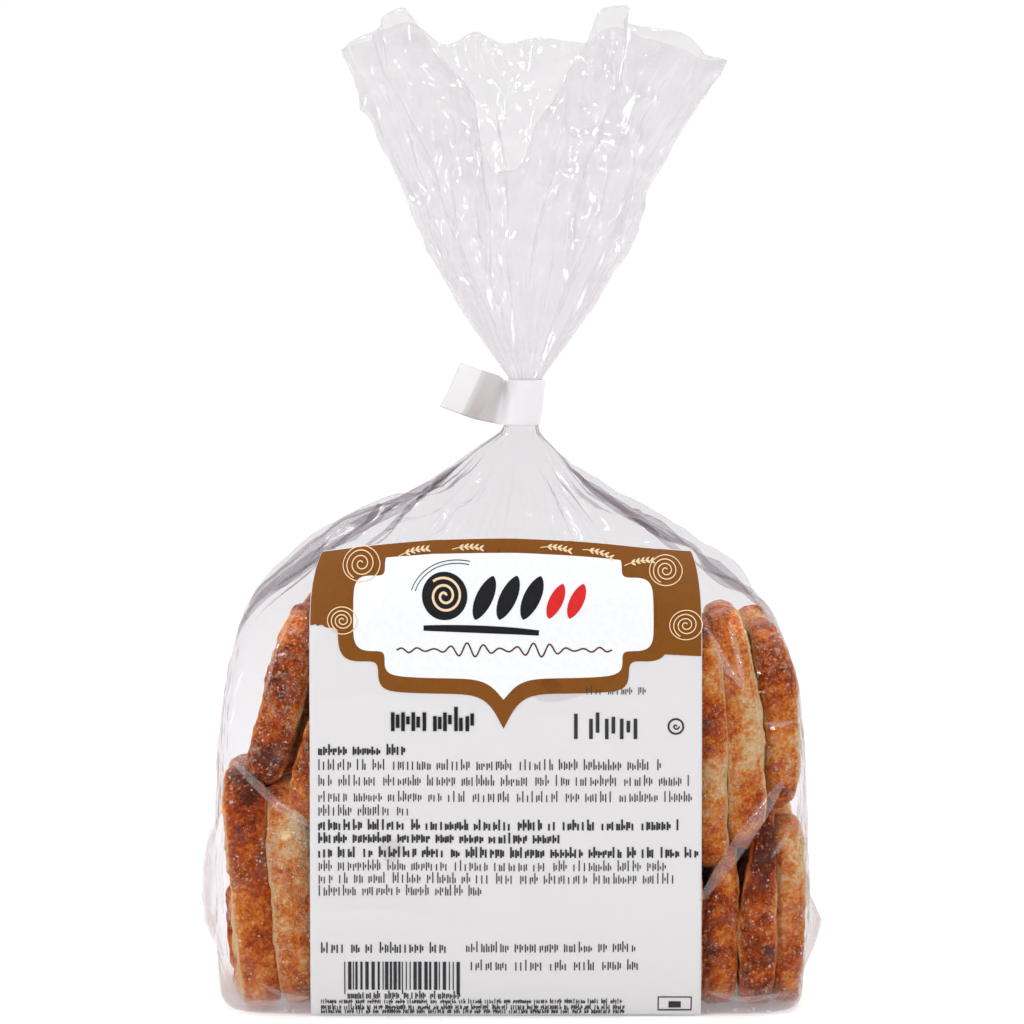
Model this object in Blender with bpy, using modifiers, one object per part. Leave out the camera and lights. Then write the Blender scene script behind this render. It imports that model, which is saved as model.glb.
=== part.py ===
"""A clear film bag of palmier pastries, gathered and taped at the neck, standing on its base.

Metres, +Z up, the label facing -Y. The origin is the middle of the base, on the surface
that the bag stands on. Three pieces:

  film_bag    solid out to the film where it holds the pastries, with its open flared top
  label       the paper label, which follows the bag's front
  neck_tape   the tape round the neck, its two ends stuck together as a folded flag
"""

import bmesh
import bpy
from math import cos, exp, hypot, pi, radians, sin

MM = 0.001

# Overall.
HEIGHT = 266 * MM            # base to the tip of the wings of the flared top
NECK_BOTTOM = 153 * MM
NECK_TOP = 166 * MM
NECK_RADIUS = 4.7 * MM
SIDES = 72                   # facets round the bag

# The filled part: height, half width, half depth and squareness of its sections.
BASE_ROUNDING = 4 * MM
FILLED_SECTIONS = (
    (0 * MM, 76.5 * MM, 34.4 * MM, 6.0),
    (32 * MM, 79.0 * MM, 35.2 * MM, 6.0),
    (58 * MM, 78.8 * MM, 35.2 * MM, 6.0),
    (84 * MM, 76.6 * MM, 34.8 * MM, 5.5),
    (95 * MM, 74.2 * MM, 34.2 * MM, 4.8),
    (105 * MM, 69.5 * MM, 32.4 * MM, 4.0),
    (115 * MM, 60.6 * MM, 28.8 * MM, 3.0),
    (126 * MM, 46.4 * MM, 23.0 * MM, 2.5),
    (137 * MM, 26.6 * MM, 15.6 * MM, 2.2),
    (147 * MM, 11.6 * MM, 8.8 * MM, 2.0),
    (NECK_BOTTOM, NECK_RADIUS, NECK_RADIUS, 2.0),
)
FILLED_RINGS = 24
EAR_HEIGHT = 24 * MM         # the film's corners stick out at both ends of the base
EAR_REACH = 3.4 * MM
SHOULDER_FOLDS = 13          # folds that run from the shoulders into the neck
SHOULDER_FOLD_DEPTH = 0.10   # as a share of the section
FOLDS_START = 122 * MM

# The flared top: height, half width and half depth, wherever its rim ends.
FLARE_SECTIONS = (
    (NECK_TOP, NECK_RADIUS, NECK_RADIUS),
    (175 * MM, 11.1 * MM, 9.0 * MM),
    (186 * MM, 18.8 * MM, 13.8 * MM),
    (197 * MM, 25.2 * MM, 18.0 * MM),
    (218 * MM, 34.2 * MM, 25.0 * MM),
    (240 * MM, 45.4 * MM, 31.0 * MM),
    (254 * MM, 51.2 * MM, 34.0 * MM),
    (HEIGHT, 53.0 * MM, 35.5 * MM),
)
FLARE_RINGS = 12
FLARE_WALL = 1.2 * MM        # film folded on itself, taken as one wall
FLARE_PLEATS = 9
PLEAT_DEPTH = 0.09           # as a share of the section
FUNNEL_BOTTOM = 0.12         # where the hollow starts, as a share of the way to the rim
RIM_HEIGHT = 254.5 * MM      # the rim at the two ends and along the back
WING_RISE = 12 * MM          # the rim's two peaks in front
WING_ANGLES = (radians(-62), radians(-128))
WING_SPREAD = radians(17)
DIP_DEPTH = 36 * MM          # the rim's dip between the peaks
DIP_ANGLE = radians(-95)
DIP_SPREAD = radians(13)
SCALLOP = 1.6 * MM

# The label.
LABEL_WIDTH = 100 * MM       # measured round the bag
LABEL_TOP = 123.5 * MM
LABEL_CORNER_DROP = 4 * MM   # its top corners sit lower than the middle of its top edge
LABEL_BOTTOM = 1 * MM
LABEL_THICKNESS = 0.3 * MM
LABEL_GAP = 0.5 * MM          # to the bag, whose facets it stays clear of
LABEL_COLUMNS = 24
LABEL_ROWS = 26
LABEL_ROW_CROWDING = 1.8     # rows lie closer together at the base's rounding

# How far the axis leans to +X: height and offset.
AXIS_LEAN = (
    (0 * MM, 0 * MM),
    (LABEL_TOP, 0 * MM),
    (NECK_BOTTOM, 2.4 * MM),
    (NECK_TOP, 3.6 * MM),
    (HEIGHT, 6.0 * MM),
)

# The tape.
TAPE_WIDTH = 12 * MM
TAPE_THICKNESS = 0.5 * MM
TAPE_RADIUS = NECK_RADIUS + 0.35 * MM
FLAG_THICKNESS = 0.6 * MM
FLAG_FOLD = (-15.2 * MM, 1.6 * MM)     # from the neck's axis, in plan
FLAG_TIP = (-20.6 * MM, -5.2 * MM)
FLAG_RISE = 0.26             # rise of the flag for its run away from the neck



def smoothstep(low, high, value):
    """0 below low, 1 above high, with a smooth ramp between."""
    share = min(max((value - low) / (high - low), 0.0), 1.0)
    return share * share * (3.0 - 2.0 * share)


def bell(angle, middle, spread):
    """A bell curve of an angle, which wraps at a full turn."""
    away = (angle - middle + pi) % (2.0 * pi) - pi
    return exp(-0.5 * (away / spread) ** 2)


def along(stations, height):
    """The values at a height on a smooth curve through the stations' values."""
    last = len(stations) - 1
    index = 0
    while index < last - 1 and height > stations[index + 1][0]:
        index += 1
    start, end = stations[index], stations[index + 1]
    before, after = stations[max(index - 1, 0)], stations[min(index + 2, last)]
    span = end[0] - start[0]
    share = min(max((height - start[0]) / span, 0.0), 1.0)
    values = []
    for item in range(1, len(start)):
        chord = (end[item] - start[item]) / span
        into = tangent(before, start, end, item, chord)
        out = tangent(start, end, after, item, chord)
        values.append(hermite(start[item], end[item], into * span, out * span, share))
    return values


def tangent(before, here, after, item, chord):
    """The slope at a station, held to 0 where the values turn back."""
    if before is here or after is here:
        return chord
    rise_in = (here[item] - before[item]) / (here[0] - before[0])
    rise_out = (after[item] - here[item]) / (after[0] - here[0])
    if rise_in * rise_out <= 0.0:
        return 0.0
    return 2.0 * rise_in * rise_out / (rise_in + rise_out)


def hermite(start, end, slope_in, slope_out, share):
    """A cubic between two values with the given slopes."""
    squared, cubed = share * share, share ** 3
    return (start * (2 * cubed - 3 * squared + 1) + slope_in * (cubed - 2 * squared + share)
            + end * (3 * squared - 2 * cubed) + slope_out * (cubed - squared))


def rounded_point(half_width, half_depth, squareness, angle):
    """A point on a rounded rectangle, squarer as squareness grows and an ellipse at 2."""
    across, deep = cos(angle), sin(angle)
    size = (abs(across) ** squareness + abs(deep) ** squareness) ** (-1.0 / squareness)
    return half_width * size * across, half_depth * size * deep


def filled_ring(height, inset):
    """One section of the filled part, drawn in by inset at the base's rounding."""
    half_width, half_depth, squareness = along(FILLED_SECTIONS, height)
    centre = along(AXIS_LEAN, height)[0]
    folds = SHOULDER_FOLD_DEPTH * smoothstep(FOLDS_START, NECK_BOTTOM - 12 * MM, height)
    ear = EAR_REACH * exp(-0.5 * ((height - EAR_HEIGHT) / (0.6 * EAR_HEIGHT)) ** 2)
    ring = []
    for step in range(SIDES):
        angle = 2.0 * pi * step / SIDES
        x, y = rounded_point(half_width - inset, half_depth - inset, squareness, angle)
        fold = 1.0 - folds * (0.5 - 0.5 * cos(SHOULDER_FOLDS * angle))
        side = 1.0 if x > 0.0 else -1.0
        x += side * ear * abs(cos(angle)) ** 24
        ring.append((centre + x * fold, y * fold, height))
    return ring


def rim_height(angle):
    """The height of the flared top's rim: two peaks, a deep dip in front, a scalloped back."""
    rise = sum(bell(angle, wing, WING_SPREAD) for wing in WING_ANGLES)
    dip = bell(angle, DIP_ANGLE, DIP_SPREAD)
    scallops = SCALLOP * max(sin(angle), 0.0) * (1.0 + cos(8.0 * angle))
    return RIM_HEIGHT + WING_RISE * rise - DIP_DEPTH * dip + scallops


def flare_ring(share, wall):
    """One section of the flared top, at a share of the way to the rim, drawn in by wall."""
    ring = []
    for step in range(SIDES):
        angle = 2.0 * pi * step / SIDES
        height = NECK_TOP + share * (rim_height(angle) - NECK_TOP)
        half_width, half_depth = along(FLARE_SECTIONS, height)
        centre = along(AXIS_LEAN, height)[0]
        pleat = PLEAT_DEPTH * smoothstep(0.0, 0.5, share)
        gather = 1.0 - pleat * (0.5 + 0.5 * cos(FLARE_PLEATS * angle + 1.0))
        x, y = half_width * cos(angle) * gather, half_depth * sin(angle) * gather
        inward = 1.0 - wall / hypot(x, y)
        ring.append((centre + x * inward, y * inward, height))
    return ring


def bag_rings():
    """The bag's sections: up its outside to the rim, then down inside the flared top."""
    rings = []
    for step in range(4):
        turn = 0.5 * pi * step / 4
        rings.append(filled_ring(BASE_ROUNDING * (1.0 - cos(turn)),
                                 BASE_ROUNDING * (1.0 - sin(turn))))
    for step in range(FILLED_RINGS + 1):
        share = step / FILLED_RINGS
        height = BASE_ROUNDING + (NECK_BOTTOM - BASE_ROUNDING) * share ** 0.8
        rings.append(filled_ring(height, 0.0))
    for step in range(FLARE_RINGS + 1):
        rings.append(flare_ring(step / FLARE_RINGS, 0.0))
    for step in range(FLARE_RINGS, -1, -1):
        share = FUNNEL_BOTTOM + (1.0 - FUNNEL_BOTTOM) * step / FLARE_RINGS
        rings.append(flare_ring(share, FLARE_WALL))
    return rings


def loft(rings):
    """A closed mesh through rings of points that run in order, capped at both ends."""
    mesh = bmesh.new()
    rows = [[mesh.verts.new(point) for point in ring] for ring in rings]
    for lower, upper in zip(rows, rows[1:]):
        for step in range(len(lower)):
            after = (step + 1) % len(lower)
            mesh.faces.new((lower[step], lower[after], upper[after], upper[step]))
    mesh.faces.new(reversed(rows[0]))
    mesh.faces.new(rows[-1])
    return mesh


def front_depth(x, height):
    """How far the bag's front is from the middle plane, at a place across and a height."""
    inset = BASE_ROUNDING - height
    if inset > 0.0:
        inset = BASE_ROUNDING - (BASE_ROUNDING ** 2 - inset ** 2) ** 0.5
    half_width, half_depth, squareness = along(FILLED_SECTIONS, height)
    share = min(abs(x) / half_width, 1.0)
    return (half_depth - max(inset, 0.0)) * (1.0 - share ** squareness) ** (1.0 / squareness)


def label_row(height_at, across):
    """One row of the label's points, a set distance apart measured round the bag."""
    points = []
    for side in (-1.0, 1.0):
        x, run, half = 0.0, 0.0, []
        step = 0.25 * MM
        for distance in across:
            while run < distance:
                height = height_at(run)
                drop = front_depth(x + step, height) - front_depth(x, height)
                run += hypot(step, drop)
                x += step
            half.append((side * x, -front_depth(x, height_at(run)), height_at(run)))
        points = half[::-1] + points if side < 0.0 else points + half[1:]
    return points


def build_label():
    """The label: a sheet on the bag's front, with thickness outward."""
    columns = LABEL_COLUMNS // 2
    across = [0.5 * LABEL_WIDTH * column / columns for column in range(columns + 1)]
    mesh = bmesh.new()
    rows = []
    for row in range(LABEL_ROWS + 1):
        share = (row / LABEL_ROWS) ** LABEL_ROW_CROWDING

        def height_at(run, share=share):
            top = LABEL_TOP - LABEL_CORNER_DROP * (run / (0.5 * LABEL_WIDTH)) ** 2
            return LABEL_BOTTOM + (top - LABEL_BOTTOM) * share

        rows.append([mesh.verts.new(point) for point in label_row(height_at, across)])
    for lower, upper in zip(rows, rows[1:]):
        for column in range(LABEL_COLUMNS):
            mesh.faces.new((lower[column], lower[column + 1], upper[column + 1], upper[column]))
    lift_off(mesh, LABEL_GAP + 0.5 * LABEL_THICKNESS)
    label = add_object("label", mesh)
    sheet = label.modifiers.new("Paper", "SOLIDIFY")
    sheet.thickness = LABEL_THICKNESS
    sheet.offset = 0.0
    return label


def lift_off(mesh, distance):
    """Move a sheet's points outward along their normals."""
    mesh.normal_update()
    moves = [(vert, vert.normal * distance) for vert in mesh.verts]
    for vert, move in moves:
        vert.co += move


def tape_outline():
    """The tape in plan, from the neck's axis: round the neck, then both sides of the flag."""
    outer = TAPE_RADIUS + TAPE_THICKNESS
    half = 0.5 * FLAG_THICKNESS
    start = pi + half / outer
    turn = 2.0 * pi - 2.0 * half / outer
    steps = 36
    ring = [(outer * cos(start + turn * step / steps), outer * sin(start + turn * step / steps))
            for step in range(steps + 1)]
    inside = [(FLAG_FOLD[0] + half, FLAG_FOLD[1] - half), (FLAG_TIP[0] + half, FLAG_TIP[1])]
    outside = [(FLAG_TIP[0] - half, FLAG_TIP[1]), (FLAG_FOLD[0] - half, FLAG_FOLD[1] + half)]
    return ring + outside[::-1] + inside[::-1]


def tape_hole():
    """The inside of the tape's ring in plan."""
    steps = 36
    return [(TAPE_RADIUS * cos(2.0 * pi * step / steps), TAPE_RADIUS * sin(2.0 * pi * step / steps))
            for step in range(steps)]


def build_tape():
    """The tape: its outline in plan given the tape's width, with the flag rising outward."""
    curve = bpy.data.curves.new("neck_tape_outline", "CURVE")
    curve.dimensions = "2D"
    curve.fill_mode = "BOTH"
    curve.extrude = 0.5 * TAPE_WIDTH
    for outline in (tape_outline(), tape_hole()):
        spline = curve.splines.new("POLY")
        spline.points.add(len(outline) - 1)
        for point, (x, y) in zip(spline.points, outline):
            point.co = (x, y, 0.0, 1.0)
        spline.use_cyclic_u = True
    holder = bpy.data.objects.new("neck_tape_outline", curve)
    bpy.context.scene.collection.objects.link(holder)
    drawn = bpy.data.meshes.new_from_object(holder.evaluated_get(bpy.context.evaluated_depsgraph_get()))
    bpy.data.objects.remove(holder)
    mesh = bmesh.new()
    mesh.from_mesh(drawn)
    bmesh.ops.remove_doubles(mesh, verts=mesh.verts, dist=0.01 * MM)
    bmesh.ops.recalc_face_normals(mesh, faces=mesh.faces)
    lean_and_lift(mesh)
    return add_object("neck_tape", mesh)


def lean_and_lift(mesh):
    """Set the tape on the leaning neck, and let the flag rise away from it."""
    middle = 0.5 * (NECK_BOTTOM + NECK_TOP)
    lean = (along(AXIS_LEAN, NECK_TOP)[0] - along(AXIS_LEAN, NECK_BOTTOM)[0]) / (NECK_TOP - NECK_BOTTOM)
    for vert in mesh.verts:
        run = max(-vert.co.x - TAPE_RADIUS - TAPE_THICKNESS, 0.0)
        vert.co.z += FLAG_RISE * run
        vert.co.x += along(AXIS_LEAN, middle)[0] + lean * (vert.co.z if run == 0.0 else 0.0)
        vert.co.z += middle


def build_bag():
    """The filled bag, its neck and its open flared top, as one solid."""
    bag = add_object("film_bag", loft(bag_rings()))
    bag.data.shade_smooth()
    bag.data.set_sharp_from_angle(angle=radians(40))
    return bag


def add_object(name, mesh):
    """Turn a bmesh into an object of that name in the part's collection."""
    data = bpy.data.meshes.new(name)
    mesh.to_mesh(data)
    mesh.free()
    thing = bpy.data.objects.new(name, data)
    bpy.data.collections["palmier_bag"].objects.link(thing)
    return thing


def add_material(thing, colour, roughness, alpha=1.0):
    """Give an object its own Principled material."""
    material = bpy.data.materials.new(thing.name)
    material.use_nodes = True
    shader = material.node_tree.nodes["Principled BSDF"]
    shader.inputs["Base Color"].default_value = (*colour, 1.0)
    shader.inputs["Roughness"].default_value = roughness
    shader.inputs["Metallic"].default_value = 0.0
    shader.inputs["Alpha"].default_value = alpha
    material.diffuse_color = (*colour, alpha)
    thing.data.materials.append(material)


def main():
    """Empty the scene and build the bag's three pieces."""
    for thing in list(bpy.data.objects):
        bpy.data.objects.remove(thing)
    collection = bpy.data.collections.new("palmier_bag")
    bpy.context.scene.collection.children.link(collection)
    add_material(build_bag(), (0.72, 0.50, 0.30), 0.25)
    add_material(build_label(), (0.86, 0.85, 0.84), 0.55)
    add_material(build_tape(), (0.90, 0.90, 0.90), 0.35)


main()
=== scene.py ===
"""Looks of a clear film bag of palmier pastries, gathered and taped at its neck.

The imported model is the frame. Its three solids are replaced here by what they stand for:
clear wrinkled film in two pieces, the pastries that it holds with their sugar and crumbs,
a printed paper label, and a glossy tape with its folded flag.
"""

import logging
from dataclasses import dataclass, field
from enum import Enum
from math import cos, pi, radians, sin, tau
from typing import Callable, Sequence

import bmesh
import bpy
import numpy as np
from mathutils import Matrix, Vector


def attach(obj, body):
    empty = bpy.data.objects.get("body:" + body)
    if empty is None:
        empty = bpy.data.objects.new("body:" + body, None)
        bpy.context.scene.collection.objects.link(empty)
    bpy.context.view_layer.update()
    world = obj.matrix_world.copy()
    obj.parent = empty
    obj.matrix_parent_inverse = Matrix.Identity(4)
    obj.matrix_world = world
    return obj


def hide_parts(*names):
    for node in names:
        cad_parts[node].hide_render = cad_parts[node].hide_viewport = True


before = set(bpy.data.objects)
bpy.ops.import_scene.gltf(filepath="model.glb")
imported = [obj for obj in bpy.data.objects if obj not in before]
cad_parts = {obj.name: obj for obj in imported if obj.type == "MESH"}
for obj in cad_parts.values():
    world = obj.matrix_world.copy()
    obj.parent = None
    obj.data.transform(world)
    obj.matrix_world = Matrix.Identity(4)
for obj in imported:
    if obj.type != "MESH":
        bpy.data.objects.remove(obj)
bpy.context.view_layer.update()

LOG = logging.getLogger("palmier_bag")
MM = 0.001
BODY = "root"
Array = np.ndarray
Triple = tuple[float, float, float]
Colour = Triple
Place = Callable[[Array, Array], Array]


class StandsFor(Enum):
    """The frame's solids that pieces stand for, each with its material slot."""

    BAG = ("film_bag", "pastry_in_film")
    LABEL = ("label", "label_paper")
    TAPE = ("neck_tape", "white_tape")


# --- Curves, noise and sheets ---

class Profile:
    """Smooth curves through stations, such as a bag's half width at some heights."""

    def __init__(self, stations: Sequence[Sequence[float]], unit: float = MM) -> None:
        """Keep the stations.

        Args:
            stations: Rows of a position and the values there, in order of position.
            unit: Metres in one unit of the position.
        """
        table = np.array(stations, float)
        self.spots = table[:, 0] * unit
        self.values = table[:, 1:]
        rises = np.diff(self.values, axis=0) / np.diff(self.spots)[:, None]
        before, after = rises[:-1], rises[1:]
        turns = before * after <= 0.0
        total = np.where(turns, 1.0, before + after)
        inner = np.where(turns, 0.0, 2.0 * before * after / total)
        self.slopes = np.vstack([rises[:1], inner, rises[-1:]])

    def at(self, spots: Array) -> Array:
        """Read the curves.

        Args:
            spots: Positions in metres, of any shape.

        Returns:
            One array for each value of a station, each shaped like spots.
        """
        spots = np.asarray(spots, float)
        index = np.clip(np.searchsorted(self.spots, spots) - 1, 0, len(self.spots) - 2)
        span = self.spots[index + 1] - self.spots[index]
        share = np.clip((spots - self.spots[index]) / span, 0.0, 1.0)[..., None]
        start, end = self.values[index], self.values[index + 1]
        into, out = self.slopes[index] * span[..., None], self.slopes[index + 1] * span[..., None]
        square, cube = share ** 2, share ** 3
        curve = (start * (2 * cube - 3 * square + 1) + into * (cube - 2 * square + share)
                 + end * (3 * square - 2 * cube) + out * (cube - square))
        return np.moveaxis(curve, -1, 0)


class Noise:
    """Smooth random values in space, the same on every run."""

    CELLS = 32

    def __init__(self, seed: int) -> None:
        """Draw the lattice from a seed."""
        self.table = np.random.default_rng(seed).uniform(-1.0, 1.0, (self.CELLS,) * 3)

    def at(self, points: Array, size: float) -> Array:
        """Read the noise.

        Args:
            points: Positions, with x, y and z last.
            size: The width of one cell.

        Returns:
            Values from -1 to 1.
        """
        scaled = np.asarray(points, float) / size
        corner = np.floor(scaled).astype(int)
        part = scaled - corner
        part = part * part * (3.0 - 2.0 * part)
        total = np.zeros(scaled.shape[:-1])
        for step in np.ndindex(2, 2, 2):
            cell = (corner + step) % self.CELLS
            weight = np.prod(np.where(np.array(step) == 1, part, 1.0 - part), axis=-1)
            total += weight * self.table[cell[..., 0], cell[..., 1], cell[..., 2]]
        return total

    def layered(self, points: Array, size: float, layers: int) -> Array:
        """Add up finer and fainter copies of the noise."""
        offsets = 7.3 * size * np.arange(layers)
        return sum(self.at(points + offsets[k], size / 2 ** k) / 2 ** k for k in range(layers))

    def creases(self, points: Array, size: float) -> Array:
        """Read sharp ridges, 1 along a crease and falling away from it."""
        return 1.0 - np.minimum(2.5 * np.abs(self.at(points, size)), 1.0)


def ramp(low: float, high: float, values: Array) -> Array:
    """Rise smoothly from 0 at low to 1 at high."""
    share = np.clip((values - low) / (high - low), 0.0, 1.0)
    return share * share * (3.0 - 2.0 * share)


def bell(values: Array, middle: float, spread: float) -> Array:
    """A bell curve of angles in radians, which wraps at a full turn."""
    away = (values - middle + pi) % tau - pi
    return np.exp(-0.5 * (away / spread) ** 2)


def joined(*columns: Array) -> Array:
    """Points from their x, their y and, where there is one, their z."""
    return np.stack(columns, axis=-1)


def corner_reach(across: Array, up: Array, power: float) -> Array:
    """How much further a rounded square reaches than a circle, for directions round it."""
    return (np.abs(across) ** power + np.abs(up) ** power) ** (-1.0 / power)


def between(spots: Array, knots: Array, line: Array) -> Array:
    """Read a line between its points.

    Args:
        spots: Where to read it.
        knots: Where each of its points is.
        line: Its points.

    Returns:
        One point for each spot.
    """
    return joined(*(np.interp(spots, knots, column) for column in line.T))


def evenly(line: Array, count: int) -> Array:
    """Space points evenly along a line.

    Args:
        line: Points of x and y.
        count: How many to make of them.

    Returns:
        The new points.
    """
    run = np.concatenate([[0.0], np.cumsum(np.hypot(*np.diff(line, axis=0).T))])
    return between(np.linspace(0.0, run[-1], count), run, line)


def softened(line: Array, reach: int) -> Array:
    """Round off a line's corners: each point is the mean of those within reach of it.

    Args:
        line: Points of x and y.
        reach: How many points on each side count.

    Returns:
        The new points.
    """
    padded = np.pad(line, ((reach, reach), (0, 0)), mode="edge")
    width = 2 * reach + 1
    return sum(padded[k:k + len(line)] for k in range(width)) / width


def directions(line: Array) -> Array:
    """The unit vector along a line at each of its points."""
    ahead = np.gradient(line, axis=0)
    return ahead / np.hypot(*ahead.T)[:, None]


def pleat(turns: Array) -> Array:
    """A pleated wave from -1 to 1 with straight sides and slightly rounded folds."""
    wave = np.abs(2.0 * (turns % 1.0) - 1.0) * 2.0 - 1.0
    return wave * (1.25 - 0.25 * wave * wave)


def sheet(name: str, columns: int, rows: int, place: Place, closed: bool) -> bpy.types.Mesh:
    """Lay a grid on a surface.

    Args:
        name: The mesh's name.
        columns: Cells across, along u.
        rows: Cells up, along v.
        place: Gives points for arrays of u and v, both from 0 to 1.
        closed: Whether the first and last columns meet.

    Returns:
        The mesh, with u and v as its UV map.
    """
    grid = bmesh.new()
    grid.loops.layers.uv.new("UVMap")
    bmesh.ops.create_grid(grid, x_segments=columns, y_segments=rows, size=0.5, calc_uvs=True)
    flat = np.array([vert.co for vert in grid.verts]) + 0.5
    points = place(flat[:, 0], flat[:, 1])
    for vert, point in zip(grid.verts, points):
        vert.co = point
    if closed:
        bmesh.ops.remove_doubles(grid, verts=grid.verts, dist=0.0005 * MM)
        bmesh.ops.recalc_face_normals(grid, faces=grid.faces)
    return finished(grid, name)


def points_of(mesh: bpy.types.Mesh, what: str = "co") -> Array:
    """Read a mesh's points.

    Args:
        mesh: The mesh.
        what: "co" for their places or "normal" for their normals.

    Returns:
        One row of x, y and z for each point.
    """
    flat = np.empty(len(mesh.vertices) * 3)
    mesh.vertices.foreach_get(what, flat)
    return flat.reshape(-1, 3)


def set_points(mesh: bpy.types.Mesh, points: Array) -> None:
    """Move the mesh's points."""
    mesh.vertices.foreach_set("co", np.asarray(points, np.float32).ravel())
    mesh.update()


def ruffle(mesh: bpy.types.Mesh, heights: Array) -> None:
    """Move each point along its normal by its height."""
    set_points(mesh, points_of(mesh) + points_of(mesh, "normal") * heights[:, None])


def add_values(mesh: bpy.types.Mesh, name: str, values: Array) -> None:
    """Store one number for each point, for a material to read."""
    layer = mesh.attributes.new(name, "FLOAT", "POINT")
    layer.data.foreach_set("value", np.asarray(values, np.float32))


def finished(shape: bmesh.types.BMesh, name: str) -> bpy.types.Mesh:
    """Turn a shape into a mesh and let the shape go.

    Args:
        shape: The shape, which can't be used afterwards.
        name: The mesh's name.

    Returns:
        The mesh.
    """
    mesh = bpy.data.meshes.new(name)
    shape.to_mesh(mesh)
    shape.free()
    return mesh


def add_object(name: str, data: bpy.types.ID) -> bpy.types.Object:
    """Put a mesh, a lamp or a camera in the scene.

    Args:
        name: The object's name.
        data: What it shows.

    Returns:
        The object.
    """
    added = bpy.data.objects.new(name, data)
    bpy.context.scene.collection.objects.link(added)
    return added


def film_only() -> bpy.types.Collection:
    """Everything made of film, which the glint lamps light and nothing else."""
    return bpy.data.collections.get("film_only") or bpy.data.collections.new("film_only")


def add_piece(mesh: bpy.types.Mesh, finish: "Finish", solid: StandsFor,
              wall: float = 0.0) -> None:
    """Make a mesh a piece of the bag.

    Args:
        mesh: The piece's mesh, in place.
        finish: Its finish.
        solid: The frame's solid that it stands for.
        wall: Thickness given to an open sheet, or 0.
    """
    piece = add_object(mesh.name, mesh)
    mesh.shade_smooth()
    mesh.materials.append(finish.material())
    if wall > 0.0:
        thickness = piece.modifiers.new("Wall", "SOLIDIFY")
        thickness.thickness = wall
        thickness.offset = 0.0
    if isinstance(finish, ClearFilm):
        film_only().objects.link(piece)
        piece.visible_shadow = False
    node, slot = solid.value
    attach(piece, BODY)
    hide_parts(node)
    LOG.info("%s: %d points", piece.name, len(mesh.vertices))


# --- Finishes ---

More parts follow.
